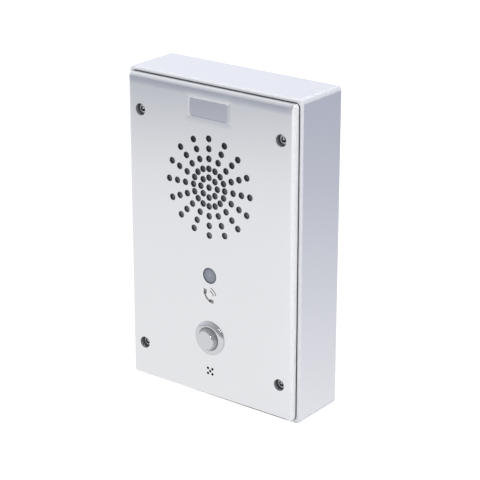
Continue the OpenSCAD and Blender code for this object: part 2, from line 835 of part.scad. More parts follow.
// Call button, drawn about its own axis with z = 0 at the plate's face

module at_button() {
    upright() at([0, button_y], face_z) children();
}

// Domed bezel with its barrel: the step inside the barrel stops the cap from coming out
module button_bezel() {
    run = bezel_d / 2 - bezel_bore_r;
    rise = bezel_h - bezel_edge_h;
    dome_r = (run * run + rise * rise) / (2 * rise);
    color(bright_steel) at_button() rotate_extrude() difference() {
        union() {
            intersection() {
                translate([bezel_bore_r, 0]) square([run, bezel_h]);
                translate([bezel_bore_r, bezel_h - dome_r]) circle(dome_r);
            }
            translate([bezel_bore_r, -barrel_l]) square([barrel_d / 2 - bezel_bore_r, barrel_l + cut / 2]);
        }
        translate([0, -barrel_l - cut]) square([barrel_d / 2 - barrel_wall, barrel_l + cut + shoulder]);
        translate([groove_r, -cut]) square([seal_w, seal_t + cut]);
    }
}

module button_seal() {
    color(rubber) at_button() ring(groove_r + seal_w, groove_r, seal_t);
}

// Cap with a bevel round its face, a skirt that slides in the barrel and a pocket for the spring
module button_cap() {
    r = cap_d / 2;
    color(bright_steel) at_button() rotate_extrude() difference() {
        union() {
            polygon([
                [0, shoulder], [r, shoulder], [r, cap_face - cap_bevel_share * cap_rise],
                [r - cap_bevel, cap_face], [0, cap_face]]);
            translate([0, skirt_end]) square([skirt_r, skirt_h]);
        }
        translate([-cut, skirt_end - cut]) square([pocket_r + cut, pocket_top - skirt_end + cut]);
    }
}

module button_plunger() {
    color(white_plastic) at_button() translate([0, 0, bridge_top])
        cylinder(pocket_top - bridge_top, d = plunger_d);
}

module contact_bridge() {
    color(brass) at_button() translate([0, 0, bridge_top - bridge_t]) cylinder(bridge_t, d = bridge_d);
}

// Points of a ring of the given size in the plane across a path
function ring_points(centre, across, up, r, sides) =
    [for (k = [0:sides - 1]) centre + r * (cos(360 * k / sides) * across + sin(360 * k / sides) * up)];
function unit(v) = v / norm(v);

// Faces of a tube of n rings, closed at both ends, as triangles
function tube_faces(n, sides) = concat(
    [for (i = [0:n - 2], k = [0:sides - 1], half = [0:1])
        let (a = i * sides + k, b = i * sides + (k + 1) % sides)
        half == 0 ? [a, b, b + sides] : [a, b + sides, a + sides]],
    [for (k = [1:sides - 2]) [0, k + 1, k]],
    [for (k = [1:sides - 2]) let (a = (n - 1) * sides) [a, a + k, a + k + 1]]);

module button_spring() {
    rings = spring_turns * spring_rings_per_turn;
    r = spring_d / 2;
    points = [for (i = [0:rings])
        let (a = 360 * i / spring_rings_per_turn, out = [cos(a), sin(a), 0], up = [0, 0, 1])
        let (height = spring_foot + spring_rise * i / rings)
        each ring_points(r * out + height * up, out, up, wire_d / 2, spring_sides)];
    color(steel) at_button() polyhedron(points, tube_faces(rings + 1, spring_sides));
}

module switch_guide() {
    color(black_plastic) at_button() translate([0, 0, guide_end])
        ring(barrel_d / 2 - barrel_wall - seat_fit, plunger_d / 2 + slide_fit, guide_t);
}

// Cup that holds the two fixed contacts
module switch_base() {
    r = barrel_d / 2 - barrel_wall - seat_fit;
    floor_z = pad_top - pad_t;
    color(black_plastic) at_button() difference() {
        translate([0, 0, base_end]) cylinder(guide_end - base_end, r = r);
        translate([0, 0, floor_z]) cylinder(guide_end - floor_z + cut, d = chamber_d);
        for (sx = [-1, 1]) translate([sx * terminal_x, 0, base_end - cut])
            block([terminal_t + 2 * seat_fit, terminal_w + 2 * seat_fit, floor_z - base_end + 2 * cut]);
    }
}

module switch_terminals() {
    color(brass) at_button() for (sx = [-1, 1]) translate([sx * terminal_x, 0, 0]) {
        translate([0, 0, pad_top - pad_t]) block([pad_w, terminal_w, pad_t]);
        translate([0, 0, terminal_end]) block([terminal_t, terminal_w, pad_top - terminal_end - pad_t / 2]);
    }
}

// Plug pushed over the two terminals, with its lead leaving sideways
module terminal_plug() {
    color(white_plastic) at_button() translate([0, 0, base_end - plug_h]) difference() {
        block([plug_w, plug_t, plug_h]);
        for (sx = [-1, 1]) translate([sx * terminal_x, 0, plug_h - terminal_l - seat_fit])
            block([terminal_t + 2 * seat_fit, terminal_w + 2 * seat_fit, terminal_l + cut]);
    }
}

module button_washer() {
    color(zinc) at_button() translate([0, 0, -sheet - washer_t])
        ring(washer_d / 2, barrel_d / 2 + seat_fit, washer_t);
}

module button_nut() {
    color(zinc) at_button() translate([0, 0, -sheet - washer_t - button_nut_t]) difference() {
        cylinder(button_nut_t, d = button_nut_d, $fn = 6);
        translate([0, 0, -cut]) cylinder(button_nut_t + 2 * cut, d = barrel_d + 2 * thread_fit);
    }
}

// Microphone, drawn about its own axis with z = 0 at the back of the plate

module at_mic() {
    upright() at([0, mic_y], plate_back) children();
}

module microphone() {
    color(zinc) at_mic() translate([0, 0, -boot_front - mic_h]) cylinder(mic_h, d = mic_d);
}

module microphone_boot() {
    total = boot_front + mic_h + boot_back;
    color(rubber) at_mic() translate([0, 0, -total]) difference() {
        cylinder(total, d = mic_d + 2 * boot_wall);
        translate([0, 0, -cut]) cylinder(total + 2 * cut, r = mic_hole_span_r);
        translate([0, 0, boot_back]) cylinder(mic_h, d = mic_d + 2 * thread_fit);
    }
}

// Main board

module main_board() {
    color(board_green) upright() translate([0, 0, board_back]) linear_extrude(board_t) difference() {
        translate([0, board_y]) round_rect(board_w, board_h, board_r);
        for (place = board_corner_places) translate(place) circle(d = board_screw_d + 2 * soft_fit);
    }
}

module board_standoffs() {
    color(zinc) upright() for (place = board_corner_places) at(place, box_sheet) difference() {
        cylinder(standoff_h, d = standoff_d, $fn = 6);
        translate([0, 0, standoff_floor]) cylinder(standoff_h, d = board_screw_d + 2 * thread_fit);
    }
}

module board_screws() {
    shank = board_t + standoff_h - standoff_floor - cut / 2;
    color(zinc) upright() for (place = board_corner_places) at(place, board_face) {
        difference() {
            cylinder(board_screw_head_h, d = board_screw_head_d);
            translate([0, 0, board_screw_head_h / 2]) block([cross_w, cross_l, board_screw_head_h]);
            translate([0, 0, board_screw_head_h / 2]) block([cross_l, cross_w, board_screw_head_h]);
        }
        translate([0, 0, -shank]) cylinder(shank + board_screw_head_h / 4, d = board_screw_d);
    }
}

// Shielded socket whose mouth faces the cable entry
module network_jack() {
    color(zinc) upright() at(jack_at, board_face) difference() {
        block(jack_size);
        translate([0, jack_size[1] / 2 - (jack_mouth[1] - cut) / 2, jack_size[2] / 4])
            block([jack_mouth[0], jack_mouth[1] + cut, jack_mouth[2]]);
    }
}

// Screw terminals for power and the door release
module terminal_block() {
    color([0.1, 0.4, 0.2]) upright() at(block_at, board_face) difference() {
        block(block_size);
        for (i = [0:block_ways - 1]) translate([(i - (block_ways - 1) / 2) * block_pitch, 0, 0]) {
            translate([0, 0, block_size[2] / 2]) cylinder(block_size[2], d = way_w);
            translate([0, block_size[1] / 2, block_in]) block([way_w, block_size[1] / 2, way_h]);
        }
    }
}

module relay() {
    color([0.15, 0.25, 0.5]) upright() at(relay_at, board_face) block(relay_size);
}

module capacitors() {
    color([0.15, 0.15, 0.2]) upright() for (place = capacitor_at) at(place, board_face)
        cylinder(capacitor_h, d = capacitor_d);
}

module processor_chips() {
    color(black_plastic) upright() for (chip = chips) at([0, board_y] + chip[0], board_face)
        block([chip[1][0], chip[1][1], chip_t]);
}

module plug_headers() {
    color(white_plastic) upright() for (place = header_places) at(place, board_face) difference() {
        block(header_size);
        translate([0, 0, header_floor])
            block([header_size[0] - 2 * header_wall, header_size[1] - 2 * header_wall, header_size[2]]);
    }
}

module lead_plugs() {
    side = 2 * (header_wall + seat_fit);
    color(white_plastic) upright() for (place = header_places) at(place, board_face + header_floor)
        block([header_size[0] - side, header_size[1] - side, lead_plug_h]);
}

// Leads inside the box

// A smooth curve through the points of a route, and its direction
function spline(p0, p1, p2, p3, t) = 0.5 * (2 * p1 + (p2 - p0) * t + (2 * p0 - 5 * p1 + 4 * p2 - p3) * t * t
    + (3 * p1 - p0 - 3 * p2 + p3) * t * t * t);
function route_curve(p, steps) = let (n = len(p)) concat(
    [for (i = [0:n - 2], s = [0:steps - 1])
        spline(p[max(i - 1, 0)], p[i], p[i + 1], p[min(i + 2, n - 1)], s / steps)],
    [p[n - 1]]);

// Round lead that leaves its plug straight up, follows a route and meets the device along the last run.
// The route never runs along the side vector.
module lead(route, last_run, side, tint) {
    path = route_curve(route, lead_steps);
    n = len(path);
    runs = [for (i = [0:n - 1]) i == 0 ? [0, 0, 1] : i == n - 1 ? last_run : unit(path[i + 1] - path[i - 1])];
    points = [for (i = [0:n - 1]) let (across = unit(cross(side, runs[i])))
        each ring_points(path[i], across, cross(runs[i], across), lead_d / 2, lead_sides)];
    color(tint) upright() polyhedron(points, tube_faces(n, lead_sides));
}

module speaker_lead() {
    lead(speaker_route, [0, 0, 1], [1, -0.4, 0], [0.6, 0.1, 0.1]);
}

module camera_lead() {
    lead(camera_route, [0, 0, 1], [0, 1, 0], [0.75, 0.75, 0.75]);
}

module button_lead() {
    lead(button_route, [0, 1, 0], [1, -1, 0], [0.1, 0.1, 0.5]);
}

module microphone_lead() {
    lead(mic_route, [0, 0, 1], [0, 1, 0], [0.15, 0.15, 0.15]);
}

back_box();
face_gasket();
cover_posts();
front_plate();
screw_cups();
cover_screws();
name_plate();
speaker_mesh();
speaker_gasket();
speaker_surround();
speaker_cone();
speaker_dust_cap();
voice_coil();
speaker_basket();
speaker_pole_plate();
speaker_magnet();
speaker_yoke();
speaker_clamp();
mounting_studs();
stud_nuts();
camera_window();
camera_lens();
camera_holder();
camera_sensor();
camera_board();
button_bezel();
button_cap();
button_plunger();
contact_bridge();
button_spring();
switch_guide();
switch_base();
switch_terminals();
terminal_plug();
button_seal();
button_washer();
button_nut();
microphone();
microphone_boot();
main_board();
board_standoffs();
board_screws();
network_jack();
terminal_block();
relay();
capacitors();
processor_chips();
plug_headers();
lead_plugs();
cable_grommet();
speaker_lead();
camera_lead();
button_lead();
microphone_lead();
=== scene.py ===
"""Looks of a wall-mounted video door intercom: folded steel, turned button, finishes, light and camera."""
import json
import math

import bmesh
import bpy
from mathutils import Matrix, Vector


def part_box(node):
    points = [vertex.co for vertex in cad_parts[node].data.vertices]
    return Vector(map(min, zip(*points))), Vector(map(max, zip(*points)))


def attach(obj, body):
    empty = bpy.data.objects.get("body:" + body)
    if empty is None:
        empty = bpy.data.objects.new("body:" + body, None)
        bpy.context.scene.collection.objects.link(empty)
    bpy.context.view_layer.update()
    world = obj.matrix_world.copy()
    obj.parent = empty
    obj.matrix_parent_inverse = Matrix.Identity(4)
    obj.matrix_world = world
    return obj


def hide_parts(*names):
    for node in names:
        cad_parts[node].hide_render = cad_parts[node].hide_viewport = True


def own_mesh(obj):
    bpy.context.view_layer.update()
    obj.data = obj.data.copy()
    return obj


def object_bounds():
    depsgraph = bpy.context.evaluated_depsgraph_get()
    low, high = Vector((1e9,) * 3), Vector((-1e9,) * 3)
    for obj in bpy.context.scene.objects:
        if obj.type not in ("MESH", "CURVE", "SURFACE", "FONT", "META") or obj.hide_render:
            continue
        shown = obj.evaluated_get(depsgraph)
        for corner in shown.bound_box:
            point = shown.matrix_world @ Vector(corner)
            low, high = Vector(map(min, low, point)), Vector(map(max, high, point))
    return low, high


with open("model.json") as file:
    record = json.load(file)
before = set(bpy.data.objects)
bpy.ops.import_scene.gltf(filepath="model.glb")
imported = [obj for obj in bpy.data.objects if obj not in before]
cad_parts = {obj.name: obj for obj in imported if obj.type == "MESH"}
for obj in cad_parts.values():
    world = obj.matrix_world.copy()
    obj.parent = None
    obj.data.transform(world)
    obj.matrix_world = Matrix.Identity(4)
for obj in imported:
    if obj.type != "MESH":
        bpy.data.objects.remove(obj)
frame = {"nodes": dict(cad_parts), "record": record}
nodes = frame["nodes"]
cad_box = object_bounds()

MM = 0.001


# Camera at the photograph's angle

LENS_MM = 131.1
SENSOR_MM = 36
CAMERA_PLACE = (0.61667, -0.82358, 0.37727)
CAMERA_AZIMUTH = 37.29
CAMERA_ELEVATION = 20.57
FARTHEST_SEEN = 20

bpy.ops.object.camera_add(
    location=CAMERA_PLACE,
    rotation=(math.radians(90 - CAMERA_ELEVATION), 0, math.radians(CAMERA_AZIMUTH)),
)
camera = bpy.context.object
camera.name = "photo_camera"
camera.data.lens = LENS_MM
camera.data.sensor_width = SENSOR_MM
camera.data.clip_end = FARTHEST_SEEN
bpy.context.scene.camera = camera
bpy.context.scene.view_settings.view_transform = "Standard"


# Shader maths

class Value:
    """A number, colour or vector in a finish, with Python arithmetic that adds Math nodes."""

    def __init__(self, finish, socket):
        self.finish = finish
        self.socket = socket

    def maths(self, operation, *others):
        return self.finish.node("ShaderNodeMath", {"operation": operation}, [self, *others])

    def __add__(self, other):
        return self.maths("ADD", other)

    __radd__ = __add__

    def __mul__(self, other):
        return self.maths("MULTIPLY", other)

    __rmul__ = __mul__

    def __sub__(self, other):
        return self.maths("SUBTRACT", other)

    def __rsub__(self, other):
        return self.finish.node("ShaderNodeMath", {"operation": "SUBTRACT"}, [other, self])

    def __truediv__(self, other):
        return self.maths("DIVIDE", other)

    def __pow__(self, other):
        return self.maths("POWER", other)

    def clamped(self, low, high):
        """0 at low, 1 at high and straight between."""
        sockets = {"Value": self, "From Min": low, "From Max": high}
        return self.finish.node("ShaderNodeMapRange", {"clamp": True}, sockets)


class Finish:
    """A material or world whose nodes are added one call at a time."""

    def __init__(self, tree, output):
        self.tree = tree
        tree.nodes.clear()
        self.output = tree.nodes.new(output)

    def node(self, kind, settings=None, sockets=None, out=0):
        """Adds a node, sets it up, fills its sockets with values or links, and returns an output."""
        node = self.tree.nodes.new(kind)
        for key, setting in (settings or {}).items():
            setattr(node, key, setting)
        named = sockets.items() if isinstance(sockets, dict) else enumerate(sockets or [])
        for key, content in named:
            if isinstance(content, Value):
                self.tree.links.new(content.socket, node.inputs[key])
            elif content is not None:
                node.inputs[key].default_value = content
        return Value(self, node.outputs[out])

    def mix(self, factor, a, b):
        """Colour a where the factor is 0 and b where it is 1."""
        sockets = {0: factor, 6: rgba(a), 7: rgba(b)}
        return self.node("ShaderNodeMix", {"data_type": "RGBA"}, sockets, out=2)

    def place(self, scale=(1, 1, 1), centre=(0, 0, 0)):
        """Object coordinates, moved to a centre and scaled."""
        own = self.node("ShaderNodeTexCoord", out=3)
        offset = tuple(-c * s for c, s in zip(centre, scale))
        return self.node("ShaderNodeMapping", None, {"Vector": own, "Location": offset, "Scale": scale})

    def along(self, axis):
        """Object coordinate along one axis."""
        own = self.node("ShaderNodeTexCoord", out=3)
        return self.node("ShaderNodeSeparateXYZ", None, [own], out="XYZ".index(axis))

    def radius(self, centre):
        """Distance from an axis that runs along Y through a centre."""
        flat = self.place((1, 0, 1), centre)
        return self.node("ShaderNodeVectorMath", {"operation": "LENGTH"}, [flat], out=1)

    def noise(self, where, scale, detail=2.0, roughness=0.5):
        sockets = {"Vector": where, "Scale": scale, "Detail": detail, "Roughness": roughness}
        return self.node("ShaderNodeTexNoise", None, sockets)

    def bump(self, height, strength, distance):
        sockets = {"Height": height, "Strength": strength, "Distance": distance}
        return self.node("ShaderNodeBump", None, sockets)

    def surface(self, shader):
        self.tree.links.new(shader.socket, self.output.inputs["Surface"])


def rgba(colour):
    return colour if isinstance(colour, Value) else (*colour, 1)


def scaled(colour, factor):
    return tuple(min(1, channel * factor) for channel in colour)


finishes = {}


def material(name):
    """Starts a finish and keeps its material under its name."""
    made = bpy.data.materials.new(name)
    made.use_nodes = True
    finishes[name] = made
    return Finish(made.node_tree, "ShaderNodeOutputMaterial")


def shaded(finish, colour, roughness, metallic=0.0, normal=None, **more):
    """The surface shader that most finishes end in."""
    sockets = {"Base Color": rgba(colour), "Roughness": roughness, "Metallic": metallic, "Normal": normal}
    sockets.update({key.replace("_", " "): value for key, value in more.items()})
    finish.surface(finish.node("ShaderNodeBsdfPrincipled", None, sockets))


# Places taken from the frame

def middle(node):
    low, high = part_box(node)
    return (low + high) / 2


PLATE_LOW, PLATE_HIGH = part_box("front_plate")
BOX_LOW, BOX_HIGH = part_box("back_box")
GASKET_LOW, GASKET_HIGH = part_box("face_gasket")
SCREW_LOW, SCREW_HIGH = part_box("cover_screws")
NAME_LOW, NAME_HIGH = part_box("name_plate")
FACE_Y = PLATE_LOW.y
RIM_Y = BOX_LOW.y
WALL_Y = BOX_HIGH.y
SPEAKER = middle("speaker_mesh")
WINDOW = middle("camera_window")
BUTTON = middle("button_bezel")
MICROPHONE = middle("microphone")
MICROPHONE_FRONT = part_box("microphone")[0].y
CABLE = middle("cable_grommet")
CORNERS = [(sx, sz) for sx in (-1, 1) for sz in (-1, 1)]
SCREW_HEAD = 3.2 * MM
screw_places = [(sx * (SCREW_HIGH.x - SCREW_HEAD), sz * (SCREW_HIGH.z - SCREW_HEAD)) for sx, sz in CORNERS]


# Finishes

FOLD_RUN = 7 * MM
SIDE_SLOPE = 0.07
END_SLOPE = 0.12


def fold_dip(f, corner):
    """How far the plate's face falls away towards its folded edges."""
    dips = []
    for axis, edge, slope in (("X", corner.x, SIDE_SLOPE), ("Z", corner.z, END_SLOPE)):
        near = f.along(axis).maths("ABSOLUTE").clamped(edge - FOLD_RUN, edge)
        dips.append(near ** 2 * (-slope * FOLD_RUN / 2))
    return dips[0] + dips[1]


NAME_RUN = 4.5 * MM
NAME_PRESS = 0.035


def name_dip(f):
    """How far the plate's face falls away towards the name plate, which sits in a soft pressing."""
    half = (NAME_HIGH - NAME_LOW) / 2
    beyond = []
    for axis, centre, reach in (("X", NAME_LOW.x + half.x, half.x), ("Z", NAME_LOW.z + half.z, half.z)):
        beyond.append(((f.along(axis) - centre).maths("ABSOLUTE") - reach).maths("MAXIMUM", 0.0))
    near = ((beyond[0] * beyond[0] + beyond[1] * beyond[1]) ** 0.5).clamped(NAME_RUN, 0.0)
    return near ** 2 * (-NAME_PRESS * NAME_RUN / 2)


GRAIN_HEIGHT = 0.0003 * MM
GRAIN_SHARE = 0.3
SHEEN_SPREAD = 0.06


def brushed_steel(name, colour, shade, rough, grain=(2600, 2600, 60), corner=None):
    """Sheet steel with fine lines along its length and faint cloudy patches."""
    f = material(name)
    lines = f.noise(f.place(grain), scale=1.0, detail=3.0, roughness=0.6)
    clouds = f.noise(f.place(), scale=28.0, detail=3.0)
    tint = f.mix(lines * GRAIN_SHARE + clouds * (1 - GRAIN_SHARE), shade, colour)
    roughness = rough + (lines - 0.5) * SHEEN_SPREAD + (clouds - 0.5) * SHEEN_SPREAD
    relief = lines * GRAIN_HEIGHT
    if corner:
        relief = relief + fold_dip(f, corner) + name_dip(f)
    shaded(f, tint, roughness, 1.0, f.bump(relief, strength=1.0, distance=1.0))


def turned_steel(name, colour, rough):
    """Polished steel of the button, with the faint rings that a lathe leaves."""
    f = material(name)
    sockets = {"W": f.radius(BUTTON), "Scale": 5200.0, "Detail": 2.0}
    rings = f.node("ShaderNodeTexNoise", {"noise_dimensions": "1D"}, sockets)
    smudge = f.noise(f.place(), scale=120.0, detail=3.0)
    roughness = rough + (rings - 0.5) * 0.1 + (smudge - 0.5) * 0.08
    shaded(f, colour, roughness, 1.0, f.bump(rings, strength=0.08, distance=0.03 * MM))


SEAM_RUN = 0.5 * MM
SEAM_SHADE = 0.15
MOTTLE_SIZE = 420.0
MOTTLE_DEPTH = 0.05 * MM


def plated_steel(name, colour, rough=0.32, metallic=1.0, seam=None):
    """Plated steel with a soft mottle, and painted shade where it goes down into a seam."""
    f = material(name)
    mottle = f.noise(f.place(), scale=MOTTLE_SIZE, detail=3.0)
    tint = f.mix(mottle, scaled(colour, 0.82), colour)
    # Painted shade: darker towards the seam, where the gap lies in shadow.
    if seam:
        tint = f.mix(f.along("Y").clamped(seam - SEAM_RUN, seam), tint, scaled(colour, SEAM_SHADE))
    shaded(f, tint, rough + mottle * 0.18, metallic, f.bump(mottle, strength=0.1, distance=MOTTLE_DEPTH))


SHADE_FROM = -20 * MM
SHADE_FULL = 30 * MM
SHADE_LAST = 57 * MM
SHADE_GONE = 61 * MM


def shadowed_steel(name, colour, dark, rough):
    """Underside of the bottom fold, with painted shade: dark and dull like the shaded seam below it, except
    towards its ends.
    """
    f = material(name)
    mottle = f.noise(f.place(), scale=MOTTLE_SIZE, detail=3.0)
    across = f.along("X")
    shade_mask = across.clamped(SHADE_FROM, SHADE_FULL) * across.clamped(SHADE_GONE, SHADE_LAST)
    roughness = rough + mottle * 0.1 + shade_mask * 0.5
    relief = f.bump(mottle, strength=0.1, distance=MOTTLE_DEPTH)
    shaded(f, f.mix(shade_mask, colour, dark), roughness, 1 - shade_mask, relief, Specular_IOR_Level=0.05)


HAZE = 0.06


def moulded(name, colour, rough, grain=2400.0):
    """Plastic or rubber with a fine moulded grain."""
    f = material(name)
    specks = f.noise(f.place(), scale=grain)
    haze = f.noise(f.place(), scale=90.0)
    tint = f.mix(haze, scaled(colour, 1 - HAZE), scaled(colour, 1 + HAZE))
    shaded(f, tint, rough + (specks - 0.5) * 0.12, 0.0, f.bump(specks, strength=0.15, distance=0.04 * MM))


CLOTH_REACH = 32 * MM
THREADS = 900.0
THREAD_SHADE = 0.4


def woven_cloth(name, colour, lower_colour):
    """Dark screen cloth of two sets of threads that cross, paler towards the bottom."""
    f = material(name)
    across, upward = [
        f.node("ShaderNodeTexWave", {"bands_direction": axis}, {"Vector": f.place(), "Scale": THREADS})
        for axis in ("X", "Z")
    ]
    threads = across.maths("MAXIMUM", upward)
    toward_bottom = f.along("Z").clamped(SPEAKER.z + CLOTH_REACH, SPEAKER.z - CLOTH_REACH)
    tint = f.mix(threads * (1 - THREAD_SHADE) + THREAD_SHADE, (0, 0, 0), f.mix(toward_bottom, colour, lower_colour))
    shaded(f, tint, 0.85, 0.0, f.bump(threads, strength=0.4, distance=0.1 * MM))


GLINT_RUN = (0.6 * MM, 1.7 * MM)
GLINT = 1.25
SMOKE_RUN = (3.0 * MM, 4.8 * MM)


def smoked_glass(name, edge, centre_colour):
    """Smoked window with a paler middle, a painted highlight where the lens behind it catches the light."""
    f = material(name)
    haze = f.noise(f.place(), scale=300.0)
    away = f.radius(WINDOW)
    tint = f.mix(away.clamped(*GLINT_RUN), scaled(centre_colour, GLINT), centre_colour)
    tint = f.mix(away.clamped(*SMOKE_RUN), tint, edge)
    shaded(f, tint, 0.08 + haze * 0.06, 0.0, Coat_Weight=0.6, Coat_Roughness=0.04)


TRACK_EDGE = (0.03, 0.06)


def circuit_board(name, colour):
    """Green solder mask with faint copper tracks below it."""
    f = material(name)
    sockets = {"Vector": f.place(), "Scale": 260.0}
    tracks = f.node("ShaderNodeTexVoronoi", {"feature": "DISTANCE_TO_EDGE"}, sockets).clamped(*TRACK_EDGE)
    tint = f.mix(tracks, scaled(colour, 1.7), colour)
    shaded(f, tint, 0.28 + tracks * 0.1, 0.0, f.bump(1 - tracks, strength=0.3, distance=0.05 * MM))


FELT = 0.05 * MM


def felted_can(name, colour, felt, front):
    """Drawn metal can with a felt disc over its front."""
    f = material(name)
    fibres = f.noise(f.place(), scale=5000.0, detail=3.0)
    bare = f.along("Y").clamped(front + FELT, front + 2 * FELT)
    roughness = 0.9 - bare * 0.55 + (fibres - 0.5) * 0.1
    relief = f.bump(fibres, strength=0.3, distance=0.05 * MM)
    shaded(f, f.mix(bare, scaled(felt, 0.8), colour), roughness, bare, relief)


def printed_ink(name, colour):
    """Screen-printed ink: slightly uneven cover and a dull surface."""
    f = material(name)
    cover = f.noise(f.place(), scale=1800.0, detail=3.0)
    tint = f.mix(cover, colour, scaled(colour, 1.5))
    shaded(f, tint, 0.5 + cover * 0.2, 0.0, f.bump(cover, strength=0.1, distance=0.02 * MM))


brushed_steel("box_steel", (0.84, 0.845, 0.88), (0.81, 0.815, 0.85), 0.34, grain=(90, 2600, 90))
brushed_steel("plate_steel", (0.83, 0.835, 0.85), (0.8, 0.805, 0.82), 0.25, corner=PLATE_HIGH)
brushed_steel("name_plate_metal", (0.61, 0.62, 0.665), (0.56, 0.57, 0.615), 0.22)
turned_steel("bright_steel", (0.65, 0.655, 0.67), 0.24)
# Darker copy of the button's turned steel: painted shade for the cap's bevel.
turned_steel("cap_side_shade", (0.52, 0.525, 0.54), 0.55)
plated_steel("dark_steel", (0.34, 0.345, 0.36), 0.45)
plated_steel("zinc_steel", (0.62, 0.63, 0.65))
plated_steel("contact_brass", (0.8, 0.62, 0.28))
# Dark steel: painted shade for the walls of the punched holes.
plated_steel("hole_wall_shade", (0.26, 0.265, 0.28), 0.45)
plated_steel("socket_shade", (0.05, 0.05, 0.055), 0.5)
plated_steel("recess_wall", (0.75, 0.755, 0.77), 0.5)
plated_steel("screw_head", (0.92, 0.925, 0.94), 0.45, metallic=0.4)
# Satin steel for the folds, with painted shade towards the seam by the box rim; also a painted highlight on
# the name plate's walls.
plated_steel("satin_fold_painted_light", (0.77, 0.775, 0.79), 0.34, metallic=0.25, seam=RIM_Y)
plated_steel("satin_rim", (0.72, 0.725, 0.755), 0.34, metallic=0.4)
plated_steel("ground_corner", (0.735, 0.74, 0.785), 0.4, metallic=0.45)
# Painted highlight for the name plate's top and left border.
plated_steel("edge_highlight", (0.86, 0.865, 0.88), 0.15)
# Painted shade for the underside of the plate's bottom fold.
shadowed_steel("under_fold", (0.83, 0.835, 0.85), (0.03, 0.03, 0.033), 0.3)
felted_can("microphone_metal", (0.66, 0.67, 0.69), (0.02, 0.02, 0.022), MICROPHONE_FRONT)
woven_cloth("screen_cloth", (0.05, 0.053, 0.06), (0.21, 0.225, 0.24))
smoked_glass("smoked_window", (0.08, 0.092, 0.12), (0.16, 0.177, 0.215))
circuit_board("circuit_board", (0.015, 0.1, 0.045))
printed_ink("sign_ink", (0.13, 0.115, 0.125))
moulded("black_rubber", (0.045, 0.045, 0.048), 0.62)
moulded("ferrite", (0.05, 0.05, 0.055), 0.5)
moulded("cone_paper", (0.05, 0.05, 0.055), 0.8, grain=900.0)
moulded("black_plastic", (0.025, 0.025, 0.027), 0.42)
moulded("white_plastic", (0.78, 0.77, 0.72), 0.4)
moulded("green_plastic", (0.03, 0.2, 0.07), 0.38)
moulded("relay_plastic", (0.03, 0.07, 0.22), 0.25)
moulded("capacitor_sleeve", (0.03, 0.03, 0.06), 0.22)
moulded("red_lead", (0.38, 0.02, 0.015), 0.35)
moulded("grey_lead", (0.32, 0.32, 0.34), 0.35)
moulded("blue_lead", (0.02, 0.03, 0.25), 0.35)
moulded("black_lead", (0.02, 0.02, 0.02), 0.35)

slot_of = {part["node"]: part["material_slot"] for part in frame["record"]["subparts"]}
for node, slot in slot_of.items():
    nodes[node].data.materials.clear()
    nodes[node].data.materials.append(finishes[slot])


# Modelling by hand

TOUCHING = 0.001 * MM
SQUARE = 0.9999
SLANTED = 0.9
CLEAR = 1 * MM
EDGE_BREAK = 0.2 * MM
HOLE_CHAMFER = 0.15 * MM
SMOOTH_UNDER = math.radians(35)


def pick(kind, test):
    """In edit mode, selects only the vertices, edges or faces that pass a test."""
    bpy.ops.mesh.select_mode(type=kind)
    bpy.ops.mesh.select_all(action="DESELECT")
    mesh = bpy.context.edit_object.data
    form = bmesh.from_edit_mesh(mesh)
    for element in {"VERT": form.verts, "EDGE": form.edges, "FACE": form.faces}[kind]:
        if test(element):
            element.select_set(True)
    form.select_flush_mode()
    bmesh.update_edit_mesh(mesh)


def level(edge, y):
    """True for an edge that lies in the plane across Y."""
    return all(abs(vertex.co.y - y) < TOUCHING for vertex in edge.verts)


def deep(edge):
    """True for an edge that runs along Y."""
    run = edge.verts[1].co - edge.verts[0].co
    return abs(run.y) > SQUARE * run.length


def rounded(test, radius, segments):
    """Rounds the edges that pass a test."""
    pick("EDGE", test)
    bpy.ops.mesh.bevel(offset=radius, segments=segments, affect="EDGES")


def mode(name):
    bpy.ops.object.mode_set(mode=name)


def only(*pieces):
    """Selects these pieces alone, the first one active."""
    bpy.ops.object.select_all(action="DESELECT")
    for piece in pieces:
        piece.select_set(True)
    bpy.context.view_layer.objects.active = pieces[0]


def applied(piece, kind, **settings):
    """Adds a modifier and applies it."""
    only(piece)
    modifier = piece.modifiers.new(kind.lower(), kind)
    for key, setting in settings.items():
        setattr(modifier, key, setting)
    bpy.ops.object.modifier_apply(modifier=modifier.name)


def cut(piece, cutter, operation="DIFFERENCE"):
    """Cuts a piece with another, or welds the other to it, and throws the other away."""
    applied(piece, "BOOLEAN", object=cutter, operation=operation, solver="EXACT")
    bpy.data.objects.remove(cutter)


def copied(piece, name, shift):
    """A copy with its own mesh, moved by a shift."""
    mesh = piece.data.copy()
    mesh.transform(Matrix.Translation(shift))
    copy = bpy.data.objects.new(name, mesh)
    bpy.context.scene.collection.objects.link(copy)
    return copy


def joined(pieces):
    only(*pieces)
    if len(pieces) > 1:
        bpy.ops.object.join()
    return pieces[0]


def added(name):
    """The primitive just added, named, with its place, turn and size in its mesh."""
    piece = bpy.context.object
    piece.name = name
    bpy.ops.object.transform_apply(location=True, rotation=True, scale=True)
    return piece


def block(name, low, high):
    """A box between two corners, open for editing."""
    bpy.ops.object.select_all(action="DESELECT")
    bpy.ops.mesh.primitive_cube_add(size=1, location=(low + high) / 2, scale=high - low)
    piece = added(name)
    mode("EDIT")
    return piece


def slab(name, low, high, corner):
    """A box between two corners whose edges along Y are rounded."""
    piece = block(name, low, high)
    rounded(deep, corner, segments=10)
    mode("OBJECT")
    return piece


